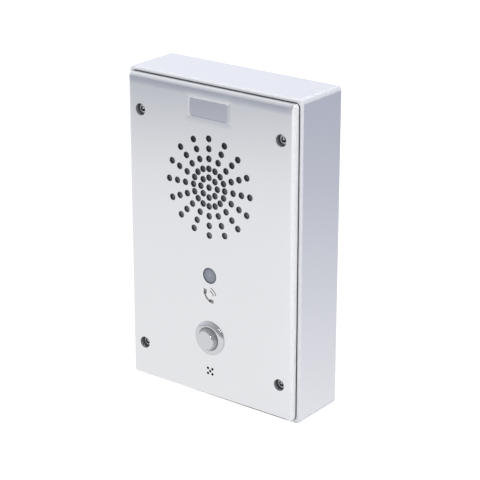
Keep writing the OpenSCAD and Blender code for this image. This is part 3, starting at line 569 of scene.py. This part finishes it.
def turned(name, axis, profile, sides=64, hollow=False):
    """A piece turned about an axis along Y: a circle is carried from point to point of a profile.
    The profile holds radius and Y, and that of a hollow piece goes round and comes back to its start."""
    radius, y = profile[0]
    bpy.ops.object.select_all(action="DESELECT")
    bpy.ops.mesh.primitive_circle_add(
        vertices=sides, radius=radius, fill_type="NOTHING" if hollow else "NGON",
        location=(axis.x, y, axis.z), rotation=(math.radians(90), 0, 0),
    )
    piece = added(name)
    mode("EDIT")
    bpy.ops.mesh.select_all(action="SELECT")
    extrude = bpy.ops.mesh.extrude_edges_move if hollow else bpy.ops.mesh.extrude_region_move
    for (old_radius, old_y), (new_radius, new_y) in zip(profile, profile[1:]):
        extrude(TRANSFORM_OT_translate={"value": (0, new_y - old_y, 0)})
        growth = new_radius / old_radius
        bpy.ops.transform.resize(value=(growth, 1, growth), center_override=(axis.x, new_y, axis.z))
    bpy.ops.mesh.select_all(action="SELECT")
    if hollow:
        bpy.ops.mesh.remove_doubles(threshold=TOUCHING)
    bpy.ops.mesh.normals_make_consistent(inside=False)
    mode("OBJECT")
    return piece


def arc(centre_radius, centre_y, radius, start, end, steps=4):
    """Points of a round stretch of a profile. Angles are in degrees from outwards, positive towards -Y."""
    angles = [math.radians(start + (end - start) * i / steps) for i in range(steps + 1)]
    return [(centre_radius + radius * math.cos(a), centre_y - radius * math.sin(a)) for a in angles]


def drills(name, places, radius, near, far, sides):
    """One cutter for round holes along Y, with a small chamfer on the near side."""
    out = 1 if near > far else -1
    first = Vector((places[0][0], 0, places[0][1]))
    profile = [(radius, far - out * CLEAR), (radius, near - out * HOLE_CHAMFER)]
    profile.append((radius + HOLE_CHAMFER + CLEAR, near + out * CLEAR))
    cutter = turned(name, first, profile, sides)
    shifts = [Vector((x, 0, z)) - first for x, z in places[1:]]
    return joined([cutter] + [copied(cutter, name, shift) for shift in shifts])


def finished(piece, body, slot, replaced=None, look=None):
    """Smooths a piece's gentle edges, dresses it, ties it to its body and hides the node that it stands for,
    if any.
    """
    only(piece)
    bpy.ops.object.shade_smooth_by_angle(angle=SMOOTH_UNDER)
    piece.data.materials.clear()
    piece.data.materials.append(finishes[look or slot])
    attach(piece, body)
    if replaced:
        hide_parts(replaced)


def partly(piece, look, test):
    """Gives the faces that pass a test another finish."""
    piece.data.materials.append(finishes[look])
    last = len(piece.data.materials) - 1
    for face in piece.data.polygons:
        if test(face):
            face.material_index = last


def sideways(face):
    """True for the wall or the chamfer of a hole along Y."""
    return abs(face.normal.y) < SLANTED


def off_axis(face, place):
    """Distance of a face's middle from an axis along Y through a place (X, Z)."""
    return math.hypot(face.center.x - place[0], face.center.z - place[1])


# Front plate

SHEET = 1.5 * MM
PLATE_CORNER = 2.4 * MM
PLATE_FOLD = 2 * MM
FLAT_EDGE = 0.35 * MM
LARGE_FLAT = 100 * MM * MM
SOUND_HOLE = 2 * MM
FIRST_RING = 6.3 * MM
RAY_START = 11.9 * MM
RAY_STEP = 6.25 * MM
RAY_HOLES = 4
RAYS = 16
MIC_HOLE = 0.75 * MM
MIC_STEP = 1.75 * MM
WINDOW_HOLE = 5 * MM
BARREL_HOLE = 9.4 * MM
SCREW_RECESS = 3.7 * MM
SIDE_LEAN = 0.4
UNDER_LEAN = 0.45
PLATE_BACK = FACE_Y + SHEET


def flats_held():
    """Sets a narrow border inside each large flat face, so that the folds don't shade it."""
    pick("FACE", lambda face: max(abs(n) for n in face.normal) > SQUARE and face.calc_area() > LARGE_FLAT)
    bpy.ops.mesh.inset(thickness=FLAT_EDGE, use_individual=True)


def sound_hole_places():
    """One hole in the middle, a ring at every second ray, then the rays."""
    places = [(SPEAKER.x, SPEAKER.z)]
    for ray in range(RAYS):
        angle = math.radians(90 + ray * 360 / RAYS)
        reach = [FIRST_RING] if ray % 2 == 0 else []
        reach += [RAY_START + RAY_STEP * hole for hole in range(RAY_HOLES)]
        places += [(SPEAKER.x + r * math.cos(angle), SPEAKER.z + r * math.sin(angle)) for r in reach]
    return places


def face_plate():
    """Sheet folded into a shallow tray, then punched."""
    piece = block("face_plate", PLATE_LOW, PLATE_HIGH)
    rounded(deep, PLATE_CORNER, segments=8)
    rounded(lambda edge: level(edge, FACE_Y), PLATE_FOLD, segments=8)
    pick("FACE", lambda face: face.normal.y > SQUARE)
    bpy.ops.mesh.delete(type="FACE")
    flats_held()
    mode("OBJECT")
    applied(piece, "SOLIDIFY", thickness=SHEET, offset=-1, use_even_offset=True)
    mic_places = [(MICROPHONE.x, MICROPHONE.z)]
    mic_places += [(MICROPHONE.x + sx * MIC_STEP, MICROPHONE.z + sz * MIC_STEP) for sx, sz in CORNERS]
    punches = [
        (sound_hole_places(), SOUND_HOLE, 32),
        (mic_places, MIC_HOLE, 20),
        ([(WINDOW.x, WINDOW.z)], WINDOW_HOLE, 64),
        ([(BUTTON.x, BUTTON.z)], BARREL_HOLE, 64),
        (screw_places, SCREW_RECESS, 48),
    ]
    for places, radius, sides in punches:
        cut(piece, drills("punch", places, radius, FACE_Y, PLATE_BACK, sides))
    finished(piece, "housing", "plate_steel", "front_plate")
    inside_x = PLATE_HIGH.x - PLATE_FOLD - SHEET
    inside_z = PLATE_HIGH.z - PLATE_FOLD - SHEET
    # Painted shade on the walls of the punched holes.
    partly(piece, "hole_wall_shade", lambda face: sideways(face) and face.center.y < PLATE_BACK
           and abs(face.center.x) < inside_x and abs(face.center.z) < inside_z)
    partly(piece, "socket_shade", lambda face: sideways(face)
           and off_axis(face, mic_places[0]) < 2 * MIC_STEP)
    partly(piece, "recess_wall", lambda face: sideways(face)
           and any(off_axis(face, place) < SCREW_RECESS + CLEAR for place in screw_places))
    # Satin finish on the side folds, with painted shade where they go down into the seam.
    partly(piece, "satin_fold_painted_light", lambda face: abs(face.normal.x) > SIDE_LEAN
           and abs(face.center.x) > PLATE_HIGH.x - PLATE_FOLD)
    # Painted shade on the underside of the bottom fold.
    partly(piece, "under_fold", lambda face: face.normal.z < -UNDER_LEAN
           and face.center.z < PLATE_LOW.z + PLATE_FOLD)


face_plate()


# Back box

BOX_SHEET = 2 * MM
BOX_CORNER = 2.7 * MM
BOX_FOLD = 1.8 * MM
WELD_CORNER = 2.9 * MM
RIM_ROUND = 1.5 * MM
RIM_LIP = 0.2 * MM
RIM_LEAN = 0.3
LEDGE = 5 * MM
LEDGE_Y = GASKET_HIGH.y
CABLE_RECESS = 17.5 * MM
CABLE_HOLE = 12.5 * MM
RECESS_DEPTH = 1.5 * MM
WALL_HOLE = 2.75 * MM
WALL_HOLE_X = 45 * MM
WALL_HOLE_Z = 92 * MM
GROMMET_BORE = 8 * MM
GROMMET_NECK = 12.4 * MM
GROMMET_LIP = 15.5 * MM
GROMMET_INNER_LIP = 15 * MM
GROMMET_SOFT = 0.5 * MM
GROMMET_LIP_T = 1.2 * MM
INSIDE = Vector((BOX_HIGH.x - BOX_SHEET, 0, BOX_HIGH.z - BOX_SHEET))
OPENING = INSIDE - Vector((LEDGE, 0, LEDGE))
PAST = Vector((0, CLEAR, 0))


def hollow(half):
    """Cutter for the inside of the box, flared at the mouth, where the rim's inner edge is broken."""
    low = Vector((0, RIM_Y + EDGE_BREAK, 0)) - half
    high = Vector((0, WALL_Y - BOX_SHEET, 0)) + half
    cutter = slab("hollow", low, high, WELD_CORNER)
    flare = EDGE_BREAK + CLEAR
    mode("EDIT")
    pick("FACE", lambda face: face.normal.y < -SQUARE)
    bpy.ops.mesh.extrude_region_move(TRANSFORM_OT_translate={"value": (0, -flare, 0)})
    bpy.ops.transform.resize(value=(1 + flare / half.x, 1, 1 + flare / half.z), center_override=(0, 0, 0))
    mode("OBJECT")
    return cutter


def gasket_ledge():
    """Frame of sheet inside the box, sunk half into its walls so that they weld."""
    reach = INSIDE + Vector((BOX_SHEET / 2, 0, BOX_SHEET / 2))
    front = Vector((0, LEDGE_Y, 0))
    back = Vector((0, LEDGE_Y + BOX_SHEET, 0))
    corner = BOX_CORNER - BOX_SHEET / 2
    piece = slab("ledge", front - reach, back + reach, corner)
    cut(piece, slab("ledge_opening", front - OPENING - PAST, back + OPENING + PAST, corner))
    return piece


def wall_box():
    """Sheet box with welded corners ground smooth, a ledge for the gasket and a drilled back wall."""
    piece = block("wall_box", BOX_LOW, BOX_HIGH)
    rounded(deep, BOX_CORNER, segments=10)
    rounded(lambda edge: level(edge, WALL_Y), BOX_FOLD, segments=8)
    rounded(lambda edge: level(edge, RIM_Y), RIM_ROUND, segments=6)
    flats_held()
    mode("OBJECT")
    cut(piece, hollow(INSIDE - Vector((0, 0, RIM_LIP))))
    cut(piece, gasket_ledge(), "UNION")
    step_y = WALL_Y - RECESS_DEPTH
    floor_y = step_y - BOX_SHEET
    dish_r = CABLE_RECESS + BOX_SHEET
    dish = [(dish_r, WALL_Y - BOX_SHEET / 2), (dish_r, floor_y + EDGE_BREAK), (dish_r - EDGE_BREAK, floor_y)]
    cut(piece, turned("dish", CABLE, dish), "UNION")
    cable = [(CABLE.x, CABLE.z)]
    wall_holes = [(sx * WALL_HOLE_X, sz * WALL_HOLE_Z) for sx, sz in CORNERS]
    cut(piece, drills("recess", cable, CABLE_RECESS, WALL_Y, step_y + CLEAR, sides=96))
    cut(piece, drills("cable_hole", cable, CABLE_HOLE, step_y, floor_y, sides=96))
    cut(piece, drills("wall_hole", wall_holes, WALL_HOLE, WALL_Y, WALL_Y - BOX_SHEET, sides=40))
    finished(piece, "housing", "box_steel", "back_box")
    partly(piece, "satin_rim", lambda face: face.normal.y < -RIM_LEAN and face.center.y < RIM_Y + RIM_ROUND)
    partly(piece, "ground_corner", lambda face: abs(face.normal.y) < RIM_LEAN
           and abs(face.center.x) > BOX_HIGH.x - BOX_CORNER and abs(face.center.z) > BOX_HIGH.z - BOX_CORNER)


def gasket_strip():
    """Soft strip between the ledge and the plate's folded edge."""
    low = Vector((0, GASKET_LOW.y, 0)) - OPENING - PAST
    high = Vector((0, GASKET_HIGH.y, 0)) + OPENING + PAST
    piece = slab("gasket_strip", GASKET_LOW, GASKET_HIGH, WELD_CORNER)
    cut(piece, slab("gasket_opening", low, high, WELD_CORNER))
    finished(piece, "housing", "black_rubber", "face_gasket")


def cable_ring():
    """Rubber ring with two rounded lips in the cable hole."""
    low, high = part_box("cable_grommet")
    front, back, soft = low.y, high.y, GROMMET_SOFT
    step = back - GROMMET_LIP_T
    inner_step = step - BOX_SHEET
    profile = arc(GROMMET_BORE + soft, back - soft, soft, -180, -90)
    profile += arc(GROMMET_LIP - soft, back - soft, soft, -90, 0)
    profile += [(GROMMET_LIP, step), (GROMMET_NECK, step)]
    profile += [(GROMMET_NECK, inner_step), (GROMMET_INNER_LIP, inner_step)]
    profile += arc(GROMMET_INNER_LIP - soft, front + soft, soft, 0, 90)
    profile += arc(GROMMET_BORE + soft, front + soft, soft, 90, 180)
    profile.append(profile[0])
    piece = turned("cable_ring", CABLE, profile, sides=96, hollow=True)
    finished(piece, "housing", "black_rubber", "cable_grommet")


wall_box()
gasket_strip()
cable_ring()


# Cover screws

SOCKET = 1.7 * MM
SOCKET_DEPTH = 1.3 * MM
SOCKET_PIN = 0.55 * MM
SOCKET_MARGIN = 0.04 * MM
HEAD_HEIGHT = 2.2 * MM
HEAD_EDGE = 1.1 * MM
CROWN_END = 88
SCREW_SHANK = 2 * MM


def cover_screws():
    """Domed screws with a pin in their six-sided socket: one is made and copied to each place."""
    top = SCREW_LOW.y
    seat = top + HEAD_HEIGHT
    x, z = screw_places[0]
    axis = Vector((x, 0, z))
    crown = HEAD_HEIGHT - HEAD_EDGE
    dome = (SCREW_HEAD ** 2 + crown ** 2) / (2 * crown)
    slope = math.degrees(math.asin(SCREW_HEAD / dome))
    profile = [(SCREW_SHANK, SCREW_HIGH.y), (SCREW_SHANK, seat), (SCREW_HEAD - EDGE_BREAK, seat)]
    profile += [(SCREW_HEAD, seat - EDGE_BREAK)] + arc(0, top + dome, dome, 90 - slope, CROWN_END, steps=8)
    first = turned("cover_screw_1", axis, profile, sides=48)
    floor_y = top + SOCKET_DEPTH
    rim = [(SOCKET, floor_y), (SOCKET, top + EDGE_BREAK), (SOCKET + EDGE_BREAK + CLEAR, top - CLEAR)]
    cut(first, turned("socket", axis, rim, sides=6))
    pin_top = top + SOCKET_DEPTH / 4
    pin = [(SOCKET_PIN, floor_y + EDGE_BREAK), (SOCKET_PIN, pin_top + EDGE_BREAK)]
    pin.append((SOCKET_PIN - EDGE_BREAK, pin_top))
    cut(first, turned("socket_pin", axis, pin, sides=24), "UNION")
    shifts = [Vector((px - x, 0, pz - z)) for px, pz in screw_places[1:]]
    copies = [copied(first, f"cover_screw_{i + 2}", shift) for i, shift in enumerate(shifts)]
    for screw, place in zip([first] + copies, screw_places):
        finished(screw, "housing", "bright_steel", "cover_screws", look="screw_head")
        partly(screw, "socket_shade", lambda face: top + EDGE_BREAK < face.center.y < floor_y + EDGE_BREAK
               and SOCKET_PIN - SOCKET_MARGIN < off_axis(face, place) < SOCKET + SOCKET_MARGIN)


cover_screws()


# Call button

RING_LOW, RING_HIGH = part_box("button_bezel")
CAP_LOW, CAP_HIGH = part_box("button_cap")
RING_OUT = 11 * MM
RING_BORE = 7.6 * MM
RING_EDGE = 0.7 * MM
RING_BREAK = 0.15 * MM
DOME_OUTER_TRIM = 1.5
DOME_INNER_TRIM = 4
BARREL_OUT = 9.3 * MM
BARREL_IN = 8.3 * MM
BARREL_STEP = 2 * MM
GROOVE_IN = 9.7 * MM
GROOVE_OUT = 10.5 * MM
GROOVE_DEPTH = 0.8 * MM
CAP_OUT = 7.3 * MM
CAP_SKIRT = 8.22 * MM
CAP_BEVEL = 1.4 * MM
CAP_BEVEL_H = 2.4 * MM
CAP_ROUND = 0.4 * MM
CAP_TOP = 3 * MM
CAP_POCKET = 5.5 * MM
CAP_CENTRE = 0.2 * MM
CAP_SIDE_LEAN = 0.6
COIL_WIRE = 0.4 * MM
COIL_TURNS = 4.5
COIL_STEPS = 108


def button_ring():
    """Domed ring with its barrel, a groove for the seal and a step that keeps the cap in."""
    top = RING_LOW.y
    run, rise = RING_OUT - RING_BORE, FACE_Y - RING_EDGE - top
    dome = (run ** 2 + rise ** 2) / (2 * rise)
    slope = math.degrees(math.asin(run / dome))
    step_y, groove_y = FACE_Y + BARREL_STEP, FACE_Y - GROOVE_DEPTH
    profile = [(RING_OUT, FACE_Y), (RING_OUT, FACE_Y - RING_EDGE + RING_BREAK)]
    profile += arc(RING_BORE, top + dome, dome, 90 + DOME_OUTER_TRIM - slope, 90 - DOME_INNER_TRIM, steps=10)
    profile += [(RING_BORE, top + RING_BREAK), (RING_BORE, step_y), (BARREL_IN, step_y)]
    profile += [(BARREL_IN, RING_HIGH.y), (BARREL_OUT, RING_HIGH.y), (BARREL_OUT, FACE_Y)]
    profile += [(GROOVE_IN, FACE_Y), (GROOVE_IN, groove_y), (GROOVE_OUT, groove_y), (GROOVE_OUT, FACE_Y)]
    profile.append(profile[0])
    piece = turned("button_ring", BUTTON, profile, sides=96, hollow=True)
    finished(piece, "housing", "bright_steel", "button_bezel")


def push_cap():
    """Flat cap with a bevel round its face, a skirt that slides in the barrel and a pocket for the spring."""
    top, end = CAP_LOW.y, CAP_HIGH.y
    pocket, step_y = top + CAP_TOP, FACE_Y + BARREL_STEP
    face_r = CAP_OUT - CAP_BEVEL
    profile = [(CAP_CENTRE, pocket), (CAP_POCKET, pocket), (CAP_POCKET, end), (CAP_SKIRT, end)]
    profile += [(CAP_SKIRT, step_y), (CAP_OUT, step_y), (CAP_OUT, top + CAP_BEVEL_H)]
    profile += [(face_r + CAP_ROUND / 2, top + CAP_ROUND), (face_r - CAP_ROUND / 2, top)]
    profile.append((face_r - 2 * CAP_ROUND, top))
    piece = turned("push_cap", BUTTON, profile, sides=96)
    finished(piece, "call_button", "bright_steel", "button_cap")
    # Painted shade: the cap's bevel gets the darker copy of the button steel.
    partly(piece, "cap_side_shade", lambda face: face.normal.y > -CAP_SIDE_LEAN and face.center.y < step_y)


def return_coil():
    """Wire coil of the button's return spring, made in one pose."""
    low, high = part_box("button_spring")
    length = high.y - low.y
    reach = (high.x - low.x) / 2 - COIL_WIRE
    foot = Vector((BUTTON.x, high.y - COIL_WIRE, BUTTON.z))
    bpy.ops.object.select_all(action="DESELECT")
    bpy.ops.mesh.primitive_circle_add(vertices=12, radius=COIL_WIRE, location=foot + Vector((reach, 0, 0)))
    piece = bpy.context.object
    piece.name = "return_coil"
    bpy.context.scene.cursor.location = foot
    bpy.ops.object.origin_set(type="ORIGIN_CURSOR")
    applied(piece, "SCREW", axis="Y", angle=math.radians(360 * COIL_TURNS),
            screw_offset=2 * COIL_WIRE - length, steps=COIL_STEPS, render_steps=COIL_STEPS)
    bpy.ops.object.transform_apply(location=True, rotation=True, scale=True)
    mode("EDIT")
    bpy.ops.mesh.select_all(action="SELECT")
    bpy.ops.mesh.fill_holes(sides=0)
    bpy.ops.mesh.select_all(action="SELECT")
    bpy.ops.mesh.normals_make_consistent(inside=False)
    mode("OBJECT")
    finished(piece, "housing", slot_of["button_spring"], "button_spring")
    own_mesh(piece)


button_ring()
push_cap()
return_coil()


# Name plate and camera window

NAME_CORNER = 1.6 * MM
NAME_EDGE = 0.2 * MM
NAME_BORDER = 0.15 * MM
NAME_WALL = 0.3 * MM
NAME_SUNK = 0.5 * MM
NAME_SLOPE = 0.3 * MM
NAME_SLACK = 0.05 * MM
TOP_LEAN = 0.3
LEFT_LEAN = 0.2
WINDOW_GAP = 0.1 * MM
WINDOW_EDGE = 0.4 * MM


def name_tag():
    """Bare plate pressed into a shallow dish with steep walls, of which the top one slopes more gently."""
    low, high = NAME_LOW, NAME_HIGH
    piece = block("name_tag", low, high)
    rounded(deep, NAME_CORNER, segments=8)
    rounded(lambda edge: level(edge, low.y), NAME_EDGE, segments=3)
    pick("FACE", lambda face: face.normal.y < -SQUARE)
    bpy.ops.mesh.inset(thickness=NAME_BORDER)
    bpy.ops.mesh.inset(thickness=NAME_WALL, depth=-NAME_SUNK)
    field_y, mid_z = low.y + NAME_SUNK, (low.z + high.z) / 2
    pick("VERT", lambda vertex: abs(vertex.co.y - field_y) < NAME_SLACK and vertex.co.z > mid_z)
    bpy.ops.transform.translate(value=(0, 0, -NAME_SLOPE))
    pick("FACE", lambda face: face.normal.y < -SQUARE and face.calc_center_median().y > field_y - NAME_SLACK)
    bpy.ops.mesh.inset(thickness=NAME_EDGE)
    mode("OBJECT")
    finished(piece, "housing", "name_plate_metal", "name_plate")
    rim = NAME_EDGE + NAME_BORDER
    # Painted highlight: a brighter copy of the steel on the left and top border.
    partly(piece, "edge_highlight", lambda face: face.center.y < field_y - NAME_SLACK
           and (face.center.x < low.x + rim or face.center.z > high.z - rim))
    # Painted highlight: a lighter finish on the top-facing wall and the left wall.
    partly(piece, "satin_fold_painted_light", lambda face: face.normal.z > TOP_LEAN and face.center.z > mid_z
           or max(face.normal.x, face.normal.z) > LEFT_LEAN and face.center.x < low.x + NAME_CORNER)


def window_disc():
    """Stepped disc with a softened front edge: its flange lies behind the plate."""
    low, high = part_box("camera_window")
    front, flange = WINDOW_HOLE - WINDOW_GAP, (high.x - low.x) / 2
    profile = [(flange, high.y), (flange, PLATE_BACK), (front, PLATE_BACK)]
    profile += arc(front - WINDOW_EDGE, low.y + WINDOW_EDGE, WINDOW_EDGE, 0, 90)
    profile.append((front - 2 * WINDOW_EDGE, low.y))
    piece = turned("window_disc", WINDOW, profile)
    finished(piece, "housing", "smoked_window", "camera_window")


name_tag()
window_disc()


# Handset sign, printed on the plate between the camera and the button

SIGN_DROP = 13.7 * MM
SIGN = Vector((WINDOW.x, FACE_Y, WINDOW.z - SIGN_DROP))
INK = 0.04 * MM
STRIP = 0.05 * MM
GRIP_CENTRE = SIGN + Vector((2.15, 0, 2.8)) * MM
GRIP_RADIUS = 6.1 * MM
GRIP_WIDTH = 1.2 * MM
GRIP_SWEEP = (188, 256)
LOBE_RADIUS = 5.7 * MM
LOBE_WIDTH = 2.3 * MM
LOBE_SWEEPS = ((165, 195), (247, 277))
WAVE_CENTRE = SIGN + Vector((-1.3, 0, -0.2)) * MM
WAVE_RADII = (4.3 * MM, 6.3 * MM)
WAVE_WIDTH = 0.7 * MM
WAVE_SWEEP = (17, 70)


def band(name, centre, radius, width, sweep, steps):
    """A flat band bent round a centre: one edge of a short strip is spun through a sweep in degrees."""
    start, end = sweep
    bpy.ops.object.select_all(action="DESELECT")
    bpy.ops.mesh.primitive_plane_add(
        size=1, location=(radius, 0, -STRIP / 2), rotation=(math.radians(90), 0, 0)
    )
    piece = bpy.context.object
    piece.scale = (width, STRIP, 1)
    added(name)
    mode("EDIT")
    pick("EDGE", lambda edge: all(abs(vertex.co.z) < STRIP / 4 for vertex in edge.verts))
    bpy.ops.mesh.spin(steps=steps, angle=math.radians(end - start), center=(0, 0, 0), axis=(0, 1, 0))
    mode("OBJECT")
    piece.data.transform(Matrix.Translation(centre) @ Matrix.Rotation(math.radians(-start), 4, "Y"))
    return piece


def handset_sign():
    """A receiver that leans to the left, with two arcs of sound beside it."""
    pieces = [band("grip", GRIP_CENTRE, GRIP_RADIUS, GRIP_WIDTH, GRIP_SWEEP, steps=14)]
    pieces += [band("lobe", GRIP_CENTRE, LOBE_RADIUS, LOBE_WIDTH, sweep, steps=6) for sweep in LOBE_SWEEPS]
    pieces += [band("wave", WAVE_CENTRE, radius, WAVE_WIDTH, WAVE_SWEEP, steps=10) for radius in WAVE_RADII]
    piece = joined(pieces)
    piece.name = "handset_sign"
    applied(piece, "SOLIDIFY", thickness=INK, offset=1)
    finished(piece, "housing", "black_plastic", look="sign_ink")


handset_sign()


# Leads inside the box, smoothed from the frame's own

LEADS = ("speaker_lead", "camera_lead", "button_lead", "microphone_lead")


def smooth_lead(node):
    """Copy of a lead without its facets."""
    piece = copied(nodes[node], node + "_jacket", Vector())
    only(piece)
    bpy.ops.mesh.customdata_custom_splitnormals_clear()
    mode("EDIT")
    bpy.ops.mesh.select_all(action="SELECT")
    bpy.ops.mesh.remove_doubles(threshold=TOUCHING)
    mode("OBJECT")
    applied(piece, "SUBSURF", levels=1, render_levels=1)
    finished(piece, "housing", slot_of[node], node)


for lead in LEADS:
    smooth_lead(lead)


# Floor, light and surroundings

FLOOR_Z = cad_box[0][2]
FLOOR_SIZE = 8.0
FLOOR_PAINT = (0.9, 0.9, 0.9)
FLOOR_WHITE = (1.14, 1.14, 1.14)
SHADOW_SHARE = 0.15
NEAR_WHITE = (0.975, 0.975, 0.985)
FRONT_GREY = (0.345, 0.375, 0.45)
FRONT_WAY = (-0.45, -1)
FRONT_RUN = (0.565, 0.97)
RIGHT_WHITE = (1.13, 1.13, 1.16)
RIGHT_WAY = (0.796, -0.606)
RIGHT_RUN = (0.06, 0.26)
RIGHT_SPREAD = (0.2, 0.5)
BACK_GREY = (0.5, 0.525, 0.61)
BACK_WAY = (0.6, 0.8)
BACK_RUN = (-0.04, 0.65)
RAY_KINDS = ("Is Camera Ray", "Is Glossy Ray", "Is Transmission Ray")


def studio_floor():
    """White floor that keeps the shadow. Metal sees it grey in front and behind, and white on the right."""
    bpy.ops.object.select_all(action="DESELECT")
    bpy.ops.mesh.primitive_plane_add(size=FLOOR_SIZE, location=(0, 0, FLOOR_Z))
    floor = added("studio_floor")
    f = material("studio_floor")
    seen, glossy, through = [f.node("ShaderNodeLightPath", out=kind) for kind in RAY_KINDS]
    shown = seen.maths("MAXIMUM", glossy).maths("MAXIMUM", through)
    across, back = f.along("X"), f.along("Y")
    ahead, aside, behind = [across * way[0] + back * way[1] for way in (FRONT_WAY, RIGHT_WAY, BACK_WAY)]
    reach = (across * across + back * back) ** 0.5
    to_right = aside.clamped(*RIGHT_RUN) * (aside / reach).clamped(*RIGHT_SPREAD)
    reflected = f.mix(ahead.clamped(*FRONT_RUN), NEAR_WHITE, FRONT_GREY)
    reflected = f.mix(to_right, reflected, RIGHT_WHITE)
    reflected = f.mix(behind.clamped(*BACK_RUN), reflected, BACK_GREY)
    lit = f.node("ShaderNodeBsdfDiffuse", None, {"Color": rgba(FLOOR_PAINT)})
    glow = f.node("ShaderNodeEmission", None, {"Color": f.mix(seen, reflected, FLOOR_WHITE), "Strength": 1.0})
    f.surface(f.node("ShaderNodeMixShader", None, [shown * (1 - seen * SHADOW_SHARE), lit, glow]))
    floor.data.materials.append(finishes["studio_floor"])


BRIGHT_SIDE = Vector((-0.85, 0.5, 0.15)).normalized()
BACKDROP = (1.045, 1.06, 1.125)
ROOM = (0.32, 0.325, 0.345)
FILL = (0.62, 0.63, 0.65)
WHITE = (1, 1, 1)
ROOM_FALL = 1.5


def surroundings():
    """White to the camera, a room with one bright side to metal and glass, and an even fill to the rest."""
    world = bpy.context.scene.world or bpy.data.worlds.new("studio")
    bpy.context.scene.world = world
    world.use_nodes = True
    f = Finish(world.node_tree, "ShaderNodeOutputWorld")
    seen, glossy, through = [f.node("ShaderNodeLightPath", out=kind) for kind in RAY_KINDS]
    way = f.node("ShaderNodeTexCoord", out=0)
    toward = f.node("ShaderNodeVectorMath", {"operation": "DOT_PRODUCT"}, [way, tuple(BRIGHT_SIDE)], out=1)
    mirrored = f.mix(toward.clamped(-1.0, 1.0) ** ROOM_FALL, ROOM, BACKDROP)
    light = f.mix(glossy.maths("MAXIMUM", through), FILL, mirrored)
    sockets = {"Color": f.mix(seen, light, WHITE), "Strength": 1.0}
    f.surface(f.node("ShaderNodeBackground", None, sockets))


def softbox(name, place, aim, size, power, mirrored):
    """A square area lamp turned towards a point. Metal shows it only where that is asked for."""
    turn = (Vector(aim) - Vector(place)).to_track_quat("-Z", "Y").to_euler()
    bpy.ops.object.light_add(type="AREA", location=place, rotation=turn)
    lamp = bpy.context.object
    lamp.name = name
    lamp.data.size = size
    lamp.data.energy = power
    lamp.visible_glossy = mirrored


studio_floor()
surroundings()
softbox("key_softbox", (-0.7, -0.9, 0.9), (0, 0, 0), size=0.7, power=9, mirrored=False)
softbox("top_softbox", (0.1, 0.1, 1.1), (0, 0, 0), size=0.8, power=7, mirrored=False)
softbox("right_softbox", (1.0, -0.2, 0.6), (0, 0, 0), size=0.6, power=5, mirrored=False)
softbox("glint_softbox", (0.61, -0.84, 0.6), (0, -0.05, -0.06), size=0.1, power=0.8, mirrored=True)
